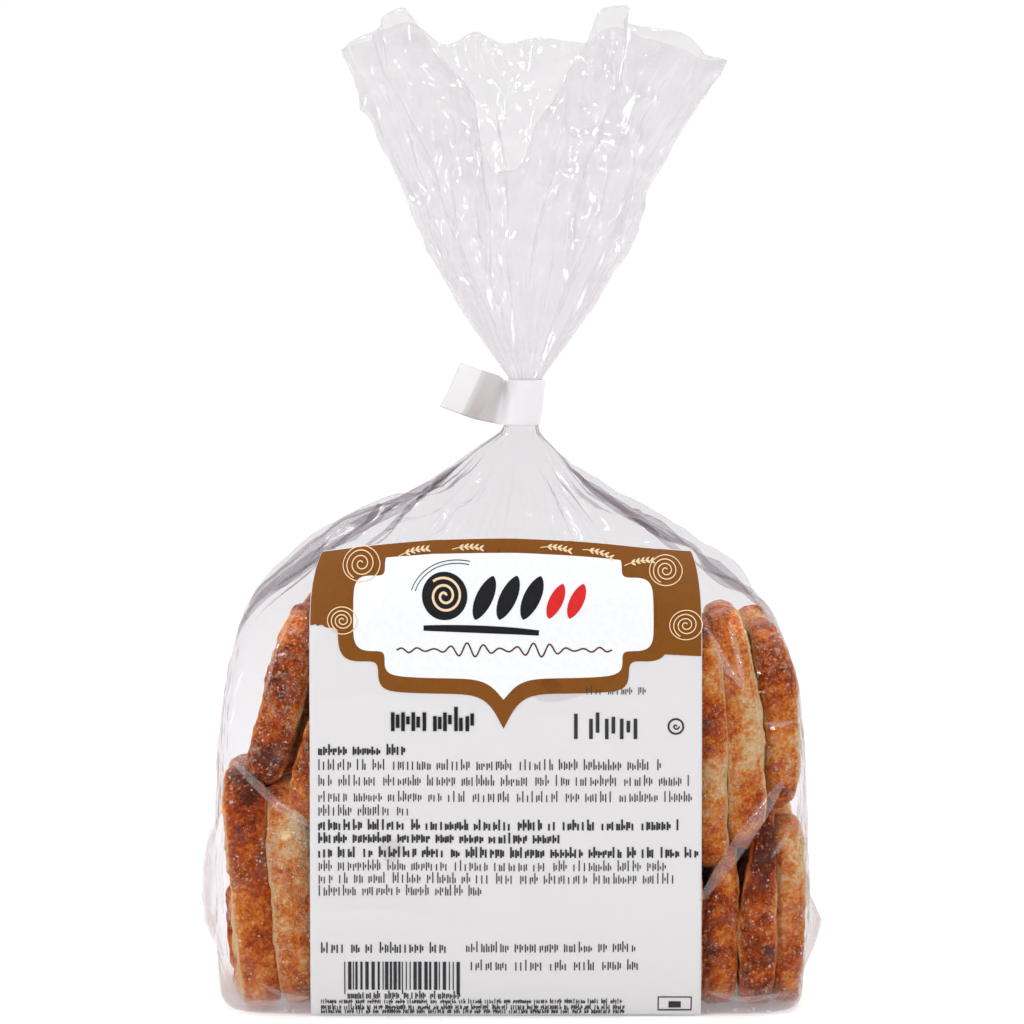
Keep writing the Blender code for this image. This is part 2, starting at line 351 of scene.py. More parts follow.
class Shader:
    """A material's node tree, written one node at a time."""

    def __init__(self, name: str) -> None:
        """Start an empty material.

        Args:
            name: The material's name.
        """
        self.material = bpy.data.materials.new(name)
        self.material.use_nodes = True
        self.nodes = self.material.node_tree.nodes
        self.links = self.material.node_tree.links
        self.nodes.clear()
        self.output = self.nodes.new("ShaderNodeOutputMaterial")

    def add(self, kind: str, settings: dict | None = None, **inputs: object) -> bpy.types.Node:
        """Add a node.

        Args:
            kind: Its type, without the ShaderNode in front.
            settings: Properties of the node.
            **inputs: Values or sockets for its inputs, with _ for a space.

        Returns:
            The node.
        """
        node = self.nodes.new(f"ShaderNode{kind}")
        for name, value in (settings or {}).items():
            setattr(node, name, value)
        for name, value in inputs.items():
            self.plug(node.inputs[name.replace("_", " ")], value)
        return node

    def plug(self, socket: bpy.types.NodeSocket, value: object) -> None:
        """Give an input a constant or link it to another node's output."""
        if isinstance(value, bpy.types.NodeSocket):
            self.links.new(value, socket)
        elif isinstance(value, bpy.types.Node):
            self.links.new(value.outputs[0], socket)
        elif isinstance(value, tuple) and socket.type == "RGBA":
            socket.default_value = (*value, 1.0)
        else:
            socket.default_value = value

    def maths(self, operation: str, *values: object) -> bpy.types.NodeSocket:
        """Work out a number from one to three values.

        Args:
            operation: What to do with them, such as ADD.
            *values: Numbers, sockets or nodes.

        Returns:
            The result's socket.
        """
        node = self.add("Math", {"operation": operation})
        for socket, value in zip(node.inputs, values):
            self.plug(socket, value)
        return node.outputs[0]

    def spread(self, value: object, low: float, high: float,
               start: float = 0.0, end: float = 1.0) -> bpy.types.NodeSocket:
        """Map a range of a value to another range, held at its ends.

        Args:
            value: The value's socket.
            low: Where the range starts.
            high: Where it ends.
            start: The result at low.
            end: The result at high.

        Returns:
            The result's socket.
        """
        node = self.add("MapRange")
        for socket, item in zip(node.inputs, (value, low, high, start, end)):
            self.plug(socket, item)
        return node.outputs[0]

    def blend(self, share: object, first: object, second: object) -> bpy.types.NodeSocket:
        """Blend two colours, by the share that the second one has.

        Args:
            share: The second colour's share.
            first: The colour where the share is 0.
            second: The colour where it is 1.

        Returns:
            The blend's socket.
        """
        node = self.add("Mix", {"data_type": "RGBA"})
        for socket, value in zip((node.inputs[0], *node.inputs[6:8]), (share, first, second)):
            self.plug(socket, value)
        return node.outputs[2]

    def mixed(self, share: object, first: object, second: object) -> bpy.types.Node:
        """Mix two surfaces, by the share that the second one has.

        Args:
            share: The second surface's share, a number or a socket.
            first: The surface where the share is 0.
            second: The surface where the share is 1.

        Returns:
            The mixing node.
        """
        node = self.add("MixShader", Fac=share)
        self.plug(node.inputs[1], first)
        self.plug(node.inputs[2], second)
        return node

    def relief(self, height: object, strength: float, distance: float,
               under: bpy.types.Node | None = None) -> bpy.types.Node:
        """Tilt the surface as if it rose and fell.

        Args:
            height: How high each spot stands, from 0 to 1.
            strength: The relief's share.
            distance: Metres that a height of 1 stands for.
            under: Another relief below this one, if there is one.

        Returns:
            The node with the tilted normal.
        """
        bump = self.add("Bump", Strength=strength, Distance=distance, Height=height)
        if under:
            self.plug(bump.inputs["Normal"], under)
        return bump

    def reading(self, name: str) -> bpy.types.NodeSocket:
        """Read the values that a mesh stores under a name."""
        return self.add("Attribute", {"attribute_name": name}).outputs["Fac"]

    def noise(self, where: object, scale: float, detail: float = 2.0,
              rough: float = 0.5) -> bpy.types.NodeSocket:
        """Read a noise texture at some coordinates."""
        return self.add("TexNoise", Vector=where, Scale=scale, Detail=detail,
                        Roughness=rough).outputs["Fac"]

    def object_place(self, stretch: Triple = (1.0, 1.0, 1.0)) -> bpy.types.NodeSocket:
        """Object coordinates, stretched along each axis."""
        place = self.add("TexCoord").outputs["Object"]
        return self.add("Mapping", Vector=place, Scale=stretch).outputs[0]

    def shaken(self, place: object, where: object, scale: float,
               reach: float) -> bpy.types.NodeSocket:
        """Shift coordinates by a noise, so that a pattern on them loses its regular shapes.

        Args:
            place: The coordinates to shift.
            where: The coordinates on which the noise is read.
            scale: The noise's scale.
            reach: How far it shifts them, in metres.

        Returns:
            The shifted coordinates.
        """
        wander = self.add("TexNoise", Vector=where, Scale=scale, Detail=2.0).outputs["Color"]
        shifted = self.add("VectorMath", {"operation": "MULTIPLY_ADD"})
        for socket, value in zip(shifted.inputs, (wander, (reach, reach, reach), place)):
            self.plug(socket, value)
        return shifted.outputs[0]

    def finish(self, surface: bpy.types.Node) -> bpy.types.Material:
        """Use a shader as the surface."""
        self.plug(self.output.inputs["Surface"], surface)
        return self.material

    def principled(self, colour: object, roughness: object,
                   **inputs: object) -> bpy.types.Material:
        """Use one opaque surface, with values or sockets for its other inputs."""
        return self.finish(self.add("BsdfPrincipled", Base_Color=colour, Roughness=roughness,
                                    **inputs))


class Finish:
    """A surface's material, made once and then shared."""

    made: dict[str, bpy.types.Material] = {}

    def name(self) -> str:
        """The material's name."""
        return type(self).__name__

    def material(self) -> bpy.types.Material:
        """The material, made at its first use."""
        if self.name() not in Finish.made:
            Finish.made[self.name()] = self.make(Shader(self.name()))
        return Finish.made[self.name()]

    def make(self, shader: Shader) -> bpy.types.Material:
        """Write the material's nodes."""
        raise NotImplementedError


@dataclass(frozen=True)
class ClearFilm(Finish):
    """Thin clear film: a little grey, a little hazy, with sharp reflections."""

    title: str = "FlareFilm"
    tint: Colour = (0.962, 0.957, 0.961)
    edge_tint: Colour = (0.93, 0.92, 0.93)
    haze: float = 0.30
    haze_colour: Colour = (0.645, 0.633, 0.645)
    roughness: float = 0.09
    gloss: float = 0.015
    crumple: float = 1.0
    mirror: float = 0.6

    def name(self) -> str:
        """The film's own name."""
        return self.title

    def make(self, shader: Shader) -> bpy.types.Material:
        """Mix what shows through the film with what it reflects.

        Args:
            shader: The empty material.

        Returns:
            The material.
        """
        place = shader.object_place((1.0, 1.0, 0.35))
        streaks = shader.noise(place, 260.0, 3.0, 0.6)
        bump = shader.relief(streaks, 0.25, 0.0004)
        bent = shader.shaken(shader.object_place((1.0, 1.0, 0.42)), shader.object_place(), 28.0,
                             0.012)
        facets = shader.add("TexVoronoi", {"feature": "F1"}, Vector=bent, Scale=110.0)
        bump = shader.relief(facets.outputs["Distance"], self.crumple, 0.0016, bump)
        slant = shader.add("LayerWeight", Blend=0.5, Normal=bump).outputs["Facing"]
        steep = shader.maths("POWER", slant, 3.0)
        seen = shader.blend(steep, self.tint, self.edge_tint)
        through = shader.add("BsdfTransparent", Color=seen)
        shine = shader.add("BsdfGlossy", Color=(1.0, 1.0, 1.0), Roughness=self.roughness,
                           Normal=bump)
        cloud = shader.add("AddShader")
        for kind, socket in zip(("BsdfDiffuse", "BsdfTranslucent"), cloud.inputs):
            half = tuple(0.5 * part for part in self.haze_colour)
            shader.plug(socket, shader.add(kind, Color=half, Normal=bump))
        clouded = shader.maths("ADD", shader.reading("folded"), self.haze)
        hazy = shader.mixed(clouded, through, cloud)
        edge = shader.maths("MULTIPLY_ADD", shader.maths("POWER", slant, 5.0), self.mirror,
                            self.gloss)
        outside = shader.maths("SUBTRACT", 1.0, shader.add("NewGeometry").outputs["Backfacing"])
        return shader.finish(shader.mixed(shader.maths("MULTIPLY", edge, outside), hazy, shine))


@dataclass(frozen=True)
class LabelPaper(Finish):
    """Coated white label paper, slightly uneven."""

    colour: Colour = (0.680, 0.665, 0.676)
    greyer: Colour = (0.61, 0.60, 0.615)
    roughness: float = 0.42

    def make(self, shader: Shader) -> bpy.types.Material:
        """Paper with faint mottling and a fine tooth.

        Args:
            shader: The empty material.

        Returns:
            The material.
        """
        place = shader.object_place()
        mottle = shader.noise(place, 90.0, 3.0)
        colour = shader.blend(shader.spread(mottle, 0.3, 0.7, 0.0, 0.06), self.colour, self.greyer)
        tooth = shader.relief(shader.noise(place, 2600.0), 0.06, 0.0001)
        return shader.principled(colour, self.roughness, Normal=tooth)


@dataclass(frozen=True)
class PrintInk(Finish):
    """Ink on the label."""

    title: str
    colour: Colour
    mottled: float = 0.25

    def name(self) -> str:
        """The ink's own name."""
        return self.title

    def make(self, shader: Shader) -> bpy.types.Material:
        """Flat ink with faint unevenness.

        Args:
            shader: The empty material.

        Returns:
            The material.
        """
        place = shader.object_place()
        mottle = shader.noise(place, 700.0, 3.0)
        lighter = tuple(min(1.0, channel * 1.25 + 0.01) for channel in self.colour)
        colour = shader.blend(shader.spread(mottle, 0.35, 0.75, 0.0, self.mottled), self.colour,
                              lighter)
        return shader.principled(colour, 0.5, Specular_IOR_Level=0.1)


@dataclass(frozen=True)
class WhiteTape(Finish):
    """Glossy white tape, thin enough to glow a little."""

    colour: Colour = (0.77, 0.76, 0.78)
    # the flag's inner leg: painted shade, and its duller sticky side
    sticky: Colour = (0.60, 0.58, 0.59)

    def make(self, shader: Shader) -> bpy.types.Material:
        """White plastic, finely creased across; painted shade and the duller sticky side on the
        flag's leg.

        Args:
            shader: The empty material.

        Returns:
            The material.
        """
        place = shader.object_place((1.0, 1.0, 0.3))
        creases = shader.relief(shader.noise(place, 420.0, 3.0, 0.6), 0.35, 0.0004)
        # painted shade and the duller sticky side on the flag's inner leg
        colour = shader.blend(shader.reading("sticky"), self.colour, self.sticky)
        return shader.principled(colour, 0.32, Normal=creases, Specular_IOR_Level=0.4,
                                 Subsurface_Weight=0.2, Subsurface_Radius=(0.002, 0.002, 0.002))


@dataclass(frozen=True)
class BakedPastry(Finish):
    """Puff pastry baked in sugar: cream inside, gold on its cut, caramel on its crust."""

    cream: Colour = (0.94, 0.68, 0.36)
    gold: Colour = (0.88, 0.27, 0.036)
    caramel: Colour = (0.54, 0.074, 0.007)
    burnt: Colour = (0.10, 0.006, 0.001)
    frost: Colour = (0.92, 0.56, 0.36)
    # the crystals' colour: partly the sugar's own, partly painted sparkle
    sugar: Colour = (1.0, 0.58, 0.27)

    def make(self, shader: Shader) -> bpy.types.Material:
        """Colour by browning and painted shade in hollows, with flaky layers as relief.

        Args:
            shader: The empty material.

        Returns:
            The material.
        """
        place = shader.object_place()
        level = shader.reading("browned")
        for noise, *spread in (((75.0, 4.0, 0.6), 0.38, 0.62, -0.21, 0.23),
                               ((320.0, 4.0, 0.65), 0.36, 0.64, -0.14, 0.14),
                               ((1100.0, 3.0, 0.7), 0.36, 0.64, -0.14, 0.17)):
            uneven = shader.spread(shader.noise(place, *noise), *spread)
            level = shader.maths("ADD", level, uneven)
        tone = shader.add("ValToRGB", Fac=level)
        stops = ((0.05, self.cream), (0.36, self.gold), (0.66, self.caramel), (1.0, self.burnt))
        ramp_stops = tone.color_ramp.elements
        while len(ramp_stops) < len(stops):
            ramp_stops.new(0.5)
        for stop, (spot, colour) in zip(ramp_stops, stops):
            stop.position = spot
            stop.color = (*colour, 1.0)
        flakes = shader.add("TexWave", {"wave_type": "BANDS", "bands_direction": "X"},
                            Vector=shader.add("CombineXYZ", X=shader.reading("layers")),
                            Scale=420.0, Distortion=2.5, Detail=3.0,
                            Detail_Scale=1.5).outputs["Fac"]
        colour = shader.blend(shader.spread(flakes, 0.0, 0.5, 0.20, 0.0), tone.outputs[0],
                              self.caramel)
        sugared = shader.reading("sugared")
        crusted = shader.spread(shader.noise(place, 420.0, 5.0, 0.75), 0.50, 0.66, 0.0, 1.0)
        crusted = shader.maths("MULTIPLY", crusted, shader.spread(sugared, 0.25, 1.3, 0.0, 0.75))
        colour = shader.blend(crusted, colour, self.frost)
        # Sugar crystals as light dots: partly the sugar's own paler colour, partly painted
        # sparkle.
        shaken = shader.shaken(place, place, 900.0, 0.0016)
        cells = shader.add("TexVoronoi", {"feature": "F1"}, Vector=shaken, Scale=950.0)
        crystal = shader.spread(cells.outputs["Distance"], 0.10, 0.44, 1.0, 0.0)
        kept = shader.spread(cells.outputs["Color"], 0.46, 0.66)
        crystal = shader.maths("MULTIPLY", crystal, kept)
        crystal = shader.maths("MULTIPLY", crystal, shader.spread(sugared, 0.02, 0.5, 0.15, 1.0))
        colour = shader.blend(crystal, colour, self.sugar)
        pits = shader.noise(place, 1100.0, 5.0, 0.7)
        scales = shader.noise(shader.object_place((1.0, 1.0, 2.4)), 330.0, 4.0, 0.65)
        rough = shader.spread(shader.noise(place, 260.0, 3.0), 0.35, 0.65, 0.30, 0.62)
        relief = shader.relief(pits, 0.7, 0.0008)
        for height, strength, distance in ((scales, 0.8, 0.0020), (flakes, 0.35, 0.0006),
                                           (crystal, 0.8, 0.0005)):
            relief = shader.relief(height, strength, distance, relief)
        glaze = shader.spread(shader.noise(place, 150.0), 0.48, 0.62, 0.0, 0.6)
        return shader.principled(colour, rough, Normal=relief, Specular_IOR_Level=0.3,
                                 Specular_Tint=(1.0, 0.6, 0.32), Coat_Roughness=0.14,
                                 Coat_Weight=glaze)


@dataclass(frozen=True)
class SugarGrain(Finish):
    """Coarse sugar, clear and sparkling, some of it melted to amber."""

    clear: Colour = (1.0, 0.66, 0.36)
    amber: Colour = (0.92, 0.42, 0.11)

    def make(self, shader: Shader) -> bpy.types.Material:
        """Glassy grains in varied tones.

        Args:
            shader: The empty material.

        Returns:
            The material.
        """
        tone = shader.noise(shader.object_place(), 900.0, 1.0)
        colour = shader.blend(shader.spread(tone, 0.36, 0.6), self.clear, self.amber)
        return shader.principled(colour, 0.34, Metallic=0.55, Specular_Tint=(1.0, 0.62, 0.36),
                                 Specular_IOR_Level=0.3)


@dataclass(frozen=True)
class StudioFloor(Finish):
    """Plain pale floor."""

    colour: Colour = (0.84, 0.84, 0.84)
    glow: float = 0.36

    def make(self, shader: Shader) -> bpy.types.Material:
        """Matt white."""
        return shader.principled(self.colour, 0.9, Specular_IOR_Level=0.1,
                                 Emission_Color=self.colour, Emission_Strength=self.glow)


# --- The bag's shape ---

@dataclass
class BagShape:
    """The film's form: what the bag measures at each height, as the frame has it."""

    height: float = 266 * MM
    neck_bottom: float = 153 * MM
    neck_top: float = 166 * MM
    base_rounding: float = 4 * MM
    rim_drop: float = 1.3

    def __post_init__(self) -> None:
        """Set up the curves. Their stations are in millimetres."""
        self.filled = Profile((
            (0, 76.5, 34.4, 9.0), (32, 79.0, 35.2, 10.0), (58, 78.8, 35.2, 10.0),
            (84, 76.4, 34.8, 8.5), (95, 74.2, 34.2, 6.5), (105, 69.3, 32.4, 4.6),
            (115, 60.0, 28.8, 3.1), (126, 44.2, 23.0, 2.5), (137, 23.6, 15.6, 2.2),
            (147, 10.6, 8.8, 2.0), (153, 4.4, 4.4, 2.0), (166, 4.4, 4.4, 2.0)))
        self.flared = Profile((
            (166, 4.4, 4.4), (175, 11.0, 9.0), (186, 18.2, 13.8), (197, 23.9, 18.0),
            (218, 32.4, 25.0), (240, 44.4, 31.0), (254, 50.6, 34.0), (266, 52.6, 35.5)))
        self.lean = Profile(((0, 0), (84, 0), (95, -0.6), (108, -1.7), (120, -1.9), (135, -0.7),
                             (146, 0.6), (153, 2.4), (166, 3.6), (197, 3.4), (218, 4.8),
                             (240, 6.2), (266, 6.0)))
        self.rim = Profile((
            (-180, 254.4), (-165, 256.6), (-150, 259.0), (-140, 261.2), (-131, 264.2),
            (-127, 259.5), (-122, 250.0), (-116, 238.0), (-106, 222.0), (-97, 222.5),
            (-88, 234.0), (-81, 246.0), (-76, 253.5), (-69, 263.8), (-61, 264.6), (-54, 261.4),
            (-40, 257.0), (-26, 254.0), (-12, 252.2), (0, 252.0), (12, 252.4), (26, 253.6),
            (40, 256.4), (52, 259.6), (62, 262.4), (67, 261.4), (72, 258.2), (88, 259.8),
            (99, 258.0), (110, 261.0), (121, 257.6), (127, 261.0), (132, 263.6), (141, 261.4),
            (151, 258.8), (166, 256.3), (180, 254.4)),
            radians(1.0))
        self.ears = np.array((
            (0, -0.8, 0.8), (6, 0.2, 2.3), (13, 1.6, 5.0), (20, 4.6, 5.6), (26, 4.9, 2.6),
            (34, 4.6, 0.9), (42, 3.2, 0.8), (49, -0.2, 0.5), (60, 0.0, 0.0))) * MM

    def centre(self, heights: Array) -> Array:
        """How far the axis leans to +X."""
        return self.lean.at(heights)[0] * MM

    def section(self, heights: Array) -> tuple[Array, Array, Array]:
        """The filled part's half width, half depth and squareness."""
        width, depth, squareness = self.filled.at(heights)
        return width * MM, depth * MM, squareness

    def inset(self, heights: Array) -> Array:
        """How far the film draws in where it rounds to the base."""
        drop = np.clip(self.base_rounding - heights, 0.0, self.base_rounding)
        return self.base_rounding - np.sqrt(self.base_rounding ** 2 - drop ** 2)

    def filled_points(self, angles: Array, heights: Array, share: Array) -> Array:
        """Points on the filled part's film, or on its base for a share under 1.

        Args:
            angles: Directions round the bag, from +X.
            heights: Their heights.
            share: How far out they are, from 0 at the axis to 1 on the film.

        Returns:
            One row of x, y and z for each.
        """
        width, depth, squareness = self.section(heights)
        inset = self.inset(heights)
        across, deep = np.cos(angles), np.sin(angles)
        size = corner_reach(across, deep, squareness)
        left, right = (np.interp(heights, self.ears[:, 0], self.ears[:, side]) for side in (1, 2))
        ear = np.where(across < 0.0, left, right)
        x = (width - inset) * size * across + np.sign(across) * ear * np.abs(across) ** 24
        y = (depth - inset) * size * deep
        return joined(self.centre(heights) + x * share, y * share, heights)

    def front(self, across: Array, heights: Array) -> Array:
        """How far the front of the film is from the middle plane.

        Args:
            across: Places across the bag.
            heights: Their heights.

        Returns:
            Distances towards the front.
        """
        width, depth, squareness = self.section(heights)
        share = np.clip(np.abs(across - self.centre(heights)) / width, 0.0, 1.0)
        return (depth - self.inset(heights)) * (1.0 - share ** squareness) ** (1.0 / squareness)

    def rim_height(self, angles: Array) -> Array:
        """The height of the flared top's rim, for angles from -180 to 180 degrees."""
        return (self.rim.at((angles + pi) % tau - pi)[0] - self.rim_drop) * MM


# --- Film ---

@dataclass
class FilmBag:
    """The clear film: the filled part up to the neck, and the flared top above it."""

    shape: BagShape
    wall: float = 0.12 * MM
    columns: int = 300
    base_rows: int = 16
    side_rows: int = 112
    flare_columns: int = 340
    flare_rows: int = 96
    noise: Noise = field(default_factory=lambda: Noise(11))

    def build(self) -> None:
        """Make both pieces of film."""
        full = ClearFilm(title="BodyFilm", tint=(0.912, 0.905, 0.911),
                         edge_tint=(0.885, 0.875, 0.885), haze=0.0,
                         haze_colour=(0.86, 0.85, 0.87), gloss=0.003, crumple=0.15, mirror=0.45)
        add_piece(self.body(), full, StandsFor.BAG, self.wall)
        add_piece(self.flare(), ClearFilm(), StandsFor.BAG, self.wall)

    def body(self) -> bpy.types.Mesh:
        """The filled part's film, from the middle of its base to the neck.

        Returns:
            The mesh.
        """
        shape = self.shape
        edge = self.base_rows / (self.base_rows + self.side_rows)

        def place(u: Array, v: Array) -> Array:
            """Base rows grow from its middle, side rows climb to the neck.

            Args:
                u: Across the sheet, from 0 to 1.
                v: Up the sheet, from 0 to 1.

            Returns:
                The points.
            """
            climb = np.clip((v - edge) / (1.0 - edge), 0.0, 1.0)
            heights = 0.15 * MM + (shape.neck_top - 4 * MM) * climb ** 1.25
            share = np.clip(v / edge, 0.0, 1.0)
            return shape.filled_points(tau * u, heights, share)

        mesh = sheet("film_body", self.columns, self.base_rows + self.side_rows, place, True)
        points = points_of(mesh)
        x, _, z = points.T
        beyond = ramp(0.6 * MM, 3.0 * MM, np.abs(x - shape.centre(z)) - shape.section(z)[0])
        low = 1.0 - ramp(0.5 * MM, 9.0 * MM, z)
        add_values(mesh, "folded", np.maximum(0.22 * low, 0.20 * beyond * (z < 60 * MM)))
        ruffle(mesh, self.body_wrinkles(points))
        return mesh

    def body_wrinkles(self, points: Array) -> Array:
        """How far each point of the body's film stands proud.

        Args:
            points: The film's points.

        Returns:
            One height for each.
        """
        shape = self.shape
        x, y, z = points.T
        angles = np.arctan2(y, x - shape.centre(z))
        width = shape.section(z)[0]
        shoulder = ramp(92 * MM, 128 * MM, z)
        radial = joined(angles * 60 * MM, np.hypot(x, y) * 0.45, np.zeros_like(z))
        warp = 0.10 * self.noise.at(radial, 22 * MM)
        folds = (0.055 * width * pleat(13 * (angles / tau + warp))
                 + 0.035 * width * pleat(23 * (angles / tau - 0.6 * warp) + 0.3)) * shoulder
        folds = folds * (1.0 - 0.75 * ramp(135 * MM, 150 * MM, z))
        crumple = 1.5 * MM * self.noise.creases(radial, 17 * MM) * shoulder
        crumple += 0.5 * MM * self.noise.creases(points * (1.0, 1.0, 1.6), 8 * MM)
        slack = 0.8 * MM * self.noise.layered(points, 26 * MM, 3)
        flat = ramp(1 * MM, 7 * MM, z)
        behind_label = 1.0 - 0.9 * self.label_share(points)
        gather = ramp(138 * MM, 150 * MM, z)
        neck = 0.35 * MM * pleat(17 * angles / tau) * gather
        return (folds + crumple + slack) * flat * behind_label * (1.0 - gather) + neck

    def label_share(self, points: Array) -> Array:
        """1 where the label holds the film flat, 0 away from it.

        Args:
            points: The film's points.

        Returns:
            One share for each.
        """
        x, y, z = points.T
        across = 1.0 - ramp(48 * MM, 54 * MM, np.abs(x))
        return across * (1.0 - ramp(120 * MM, 127 * MM, z)) * (y < 0.0)

    def flare(self) -> bpy.types.Mesh:
        """The flared top's film, from inside the tape to its rim.

        Returns:
            The mesh.
        """
        shape = self.shape

        def place(u: Array, v: Array) -> Array:
            """Rows climb from the neck to a rim of uneven height.

            Args:
                u: Across the sheet, from 0 to 1.
                v: Up the sheet, from 0 to 1.

            Returns:
                The points.
            """
            angles = tau * u
            climb = v ** 0.9
            heights = shape.neck_bottom + 4 * MM + climb * (shape.rim_height(angles)
                                                           - shape.neck_bottom - 4 * MM)
            half_width, half_depth = shape.flared.at(heights) * MM
            share = self.gather(angles, climb)
            x = half_width * np.cos(angles) * share
            y = half_depth * np.sin(angles) * share
            return joined(shape.centre(heights) + x, y, heights)

        mesh = sheet("film_flare", self.flare_columns, self.flare_rows, place, True)
        points = points_of(mesh)
        ruffle(mesh, self.flare_wrinkles(points))
        return mesh

    def gather(self, angles: Array, climb: Array) -> Array:
        """How the pleats draw the flared top in, as a share of its section.

        Args:
            angles: Directions round the flared top.
            climb: How far up it, from 0 to 1.

        Returns:
            One share for each.
        """
        around = joined(np.cos(angles), np.sin(angles), climb)
        warp = 0.035 * self.noise.at(around * (1.0, 1.0, 1.5), 0.6)
        near = 1.0 - ramp(0.25, 0.6, climb)
        middle = ramp(0.08, 0.25, climb) * (1.0 - ramp(0.6, 1.0, climb))
        far = ramp(0.35, 0.8, climb)
        depth = (0.12 * near * (1.0 + pleat(21 * (angles / tau + warp)))
                 + 0.08 * middle * (1.0 + pleat(14 * (angles / tau + warp) + 0.2))
                 + 0.06 * far * (1.0 + pleat(8 * (angles / tau + 1.4 * warp) + 0.55))
                 + 0.02 * far * (1.0 + pleat(19 * (angles / tau + warp))))
        depth = depth * (0.3 + 0.7 * np.abs(np.sin(angles)))
        rolled = 0.20 * bell(angles, radians(-52), radians(3.2)) * ramp(0.2, 0.5, climb)
        tucked = 0.14 * bell(angles, radians(-118), radians(3.0)) * ramp(0.2, 0.6, climb)
        return 1.02 - depth - rolled - tucked

    def flare_wrinkles(self, points: Array) -> Array:
        """How far each point of the flared top's film stands proud.

        Args:
            points: The film's points.

        Returns:
            One height for each.
        """
        x, y, z = points.T
        angles = np.arctan2(y, x - self.shape.centre(z))
        radial = joined(angles * 45 * MM, z * 0.40, np.zeros_like(z))
        spread = ramp(170 * MM, 215 * MM, z)
        crumple = 1.5 * MM * self.noise.creases(radial, 13 * MM)
        crumple += 1.1 * MM * self.noise.creases(points, 9 * MM)
        crumple += 0.5 * MM * self.noise.creases(points + 0.3, 5 * MM)
        crumple += 0.8 * MM * self.noise.layered(points, 18 * MM, 2)
        return crumple * spread


@dataclass
class FilmFold:
    """A fold of slack film lying on the bag's front: its path across and up, in millimetres."""

    path: tuple[tuple[float, float], ...]
    width: float
    rise: float = 0.9

    def mesh(self, shape: BagShape) -> bpy.types.Mesh:
        """Arch a strip of film along the path.

        Args:
            shape: The bag's shape.

        Returns:
            The mesh.
        """
        line = np.array(self.path) * MM
        knots = np.linspace(0.0, 1.0, len(line))
        fine = np.linspace(0.0, 1.0, 200)
        way = softened(between(fine, knots, line), 20)
        ahead = directions(way)

        def place(u: Array, v: Array) -> Array:
            """Along the fold with u, over its arch with v.

            Args:
                u: Across the sheet, from 0 to 1.
                v: Up the sheet, from 0 to 1.

            Returns:
                The points.
            """
            (x, z), (dx, dz) = between(u, fine, way).T, between(u, fine, ahead).T
            swell = np.sin(pi * np.clip(u, 0.02, 0.98)) ** 0.6
            side = (v - 0.5) * self.width * MM * swell
            lift = (1.1 + self.rise * swell * (1.0 - (2.0 * v - 1.0) ** 4)) * MM
            x, z = x - dz * side, z + dx * side
            return joined(x, -shape.front(x, z) - lift, z)

        return sheet("film_fold", 70, 10, place, False)


@dataclass
class FilmFolds:
    """The folds seen on the bag's front."""

    shape: BagShape
    folds: tuple[FilmFold, ...] = (
        FilmFold(((48.5, 30.0), (56.0, 41.0), (64.0, 52.5), (71.0, 63.0)), 4.2),
        FilmFold(((67.5, 42.0), (70.0, 45.5), (73.0, 50.5)), 1.2),
        FilmFold(((65.5, 77.4), (69.5, 77.0), (73.5, 77.6)), 1.3),
        FilmFold(((50.5, 102.5), (56.0, 92.0), (60.5, 86.0)), 2.0),
        FilmFold(((60.5, 86.0), (58.5, 96.0), (56.5, 104.0)), 1.8),
        FilmFold(((-74.0, 68.6), (-66.5, 61.5), (-60.0, 55.0), (-52.0, 50.0)), 2.4),
        FilmFold(((-62.0, 57.5), (-57.0, 54.5), (-52.5, 51.5)), 1.0),
        FilmFold(((-72.0, 3.4), (-62.0, 4.0), (-52.5, 5.6)), 1.6),
        FilmFold(((-66.0, 9.0), (-60.0, 6.0), (-53.0, 5.2)), 1.2),
        FilmFold(((-55.6, 108.0), (-61.5, 96.5), (-64.5, 84.0)), 1.1),
        FilmFold(((50.5, 7.0), (60.0, 4.6), (72.5, 6.0)), 1.5),
        FilmFold(((74.5, 44.0), (76.0, 58.0), (74.5, 74.0)), 1.3),
        FilmFold(((-75.5, 26.0), (-76.5, 40.0), (-74.5, 54.0)), 1.5),
        FilmFold(((-79.0, 47.0), (-81.6, 40.0), (-82.4, 22.0), (-77.5, 9.0)), 1.6),
        FilmFold(((79.2, 34.0), (82.6, 21.0), (80.5, 12.0), (76.5, 4.0)), 1.8),
    )

    def build(self) -> None:
        """Make all the folds as one piece."""
        gathered = bmesh.new()
        for fold in self.folds:
            gathered.from_mesh(fold.mesh(self.shape))
        mesh = finished(gathered, "film_folds")
        folded = ClearFilm(title="FoldedFilm", tint=(0.985, 0.98, 0.985),
                           edge_tint=(0.90, 0.89, 0.90), haze=0.09,
                           haze_colour=(0.90, 0.86, 0.86), roughness=0.07, gloss=0.012,
                           crumple=0.0)
        add_piece(mesh, folded, StandsFor.BAG, 0.08 * MM)


# --- Pastries ---

@dataclass
class Spot:
    """Where one pastry stands in the bag, in millimetres and degrees."""

    x: float
    z: float
    upright: bool
    lean: float = 0.0
    turn: float = 0.0
    slice: float = 10.4
    sugar: float = 0.8
    browned: float = 0.5
    pale_at: float = 0.0
    bend: float = 0.0
    back: float = 0.0
    twist: float = 0.0
    size: float = 1.0
    point: float = 0.0


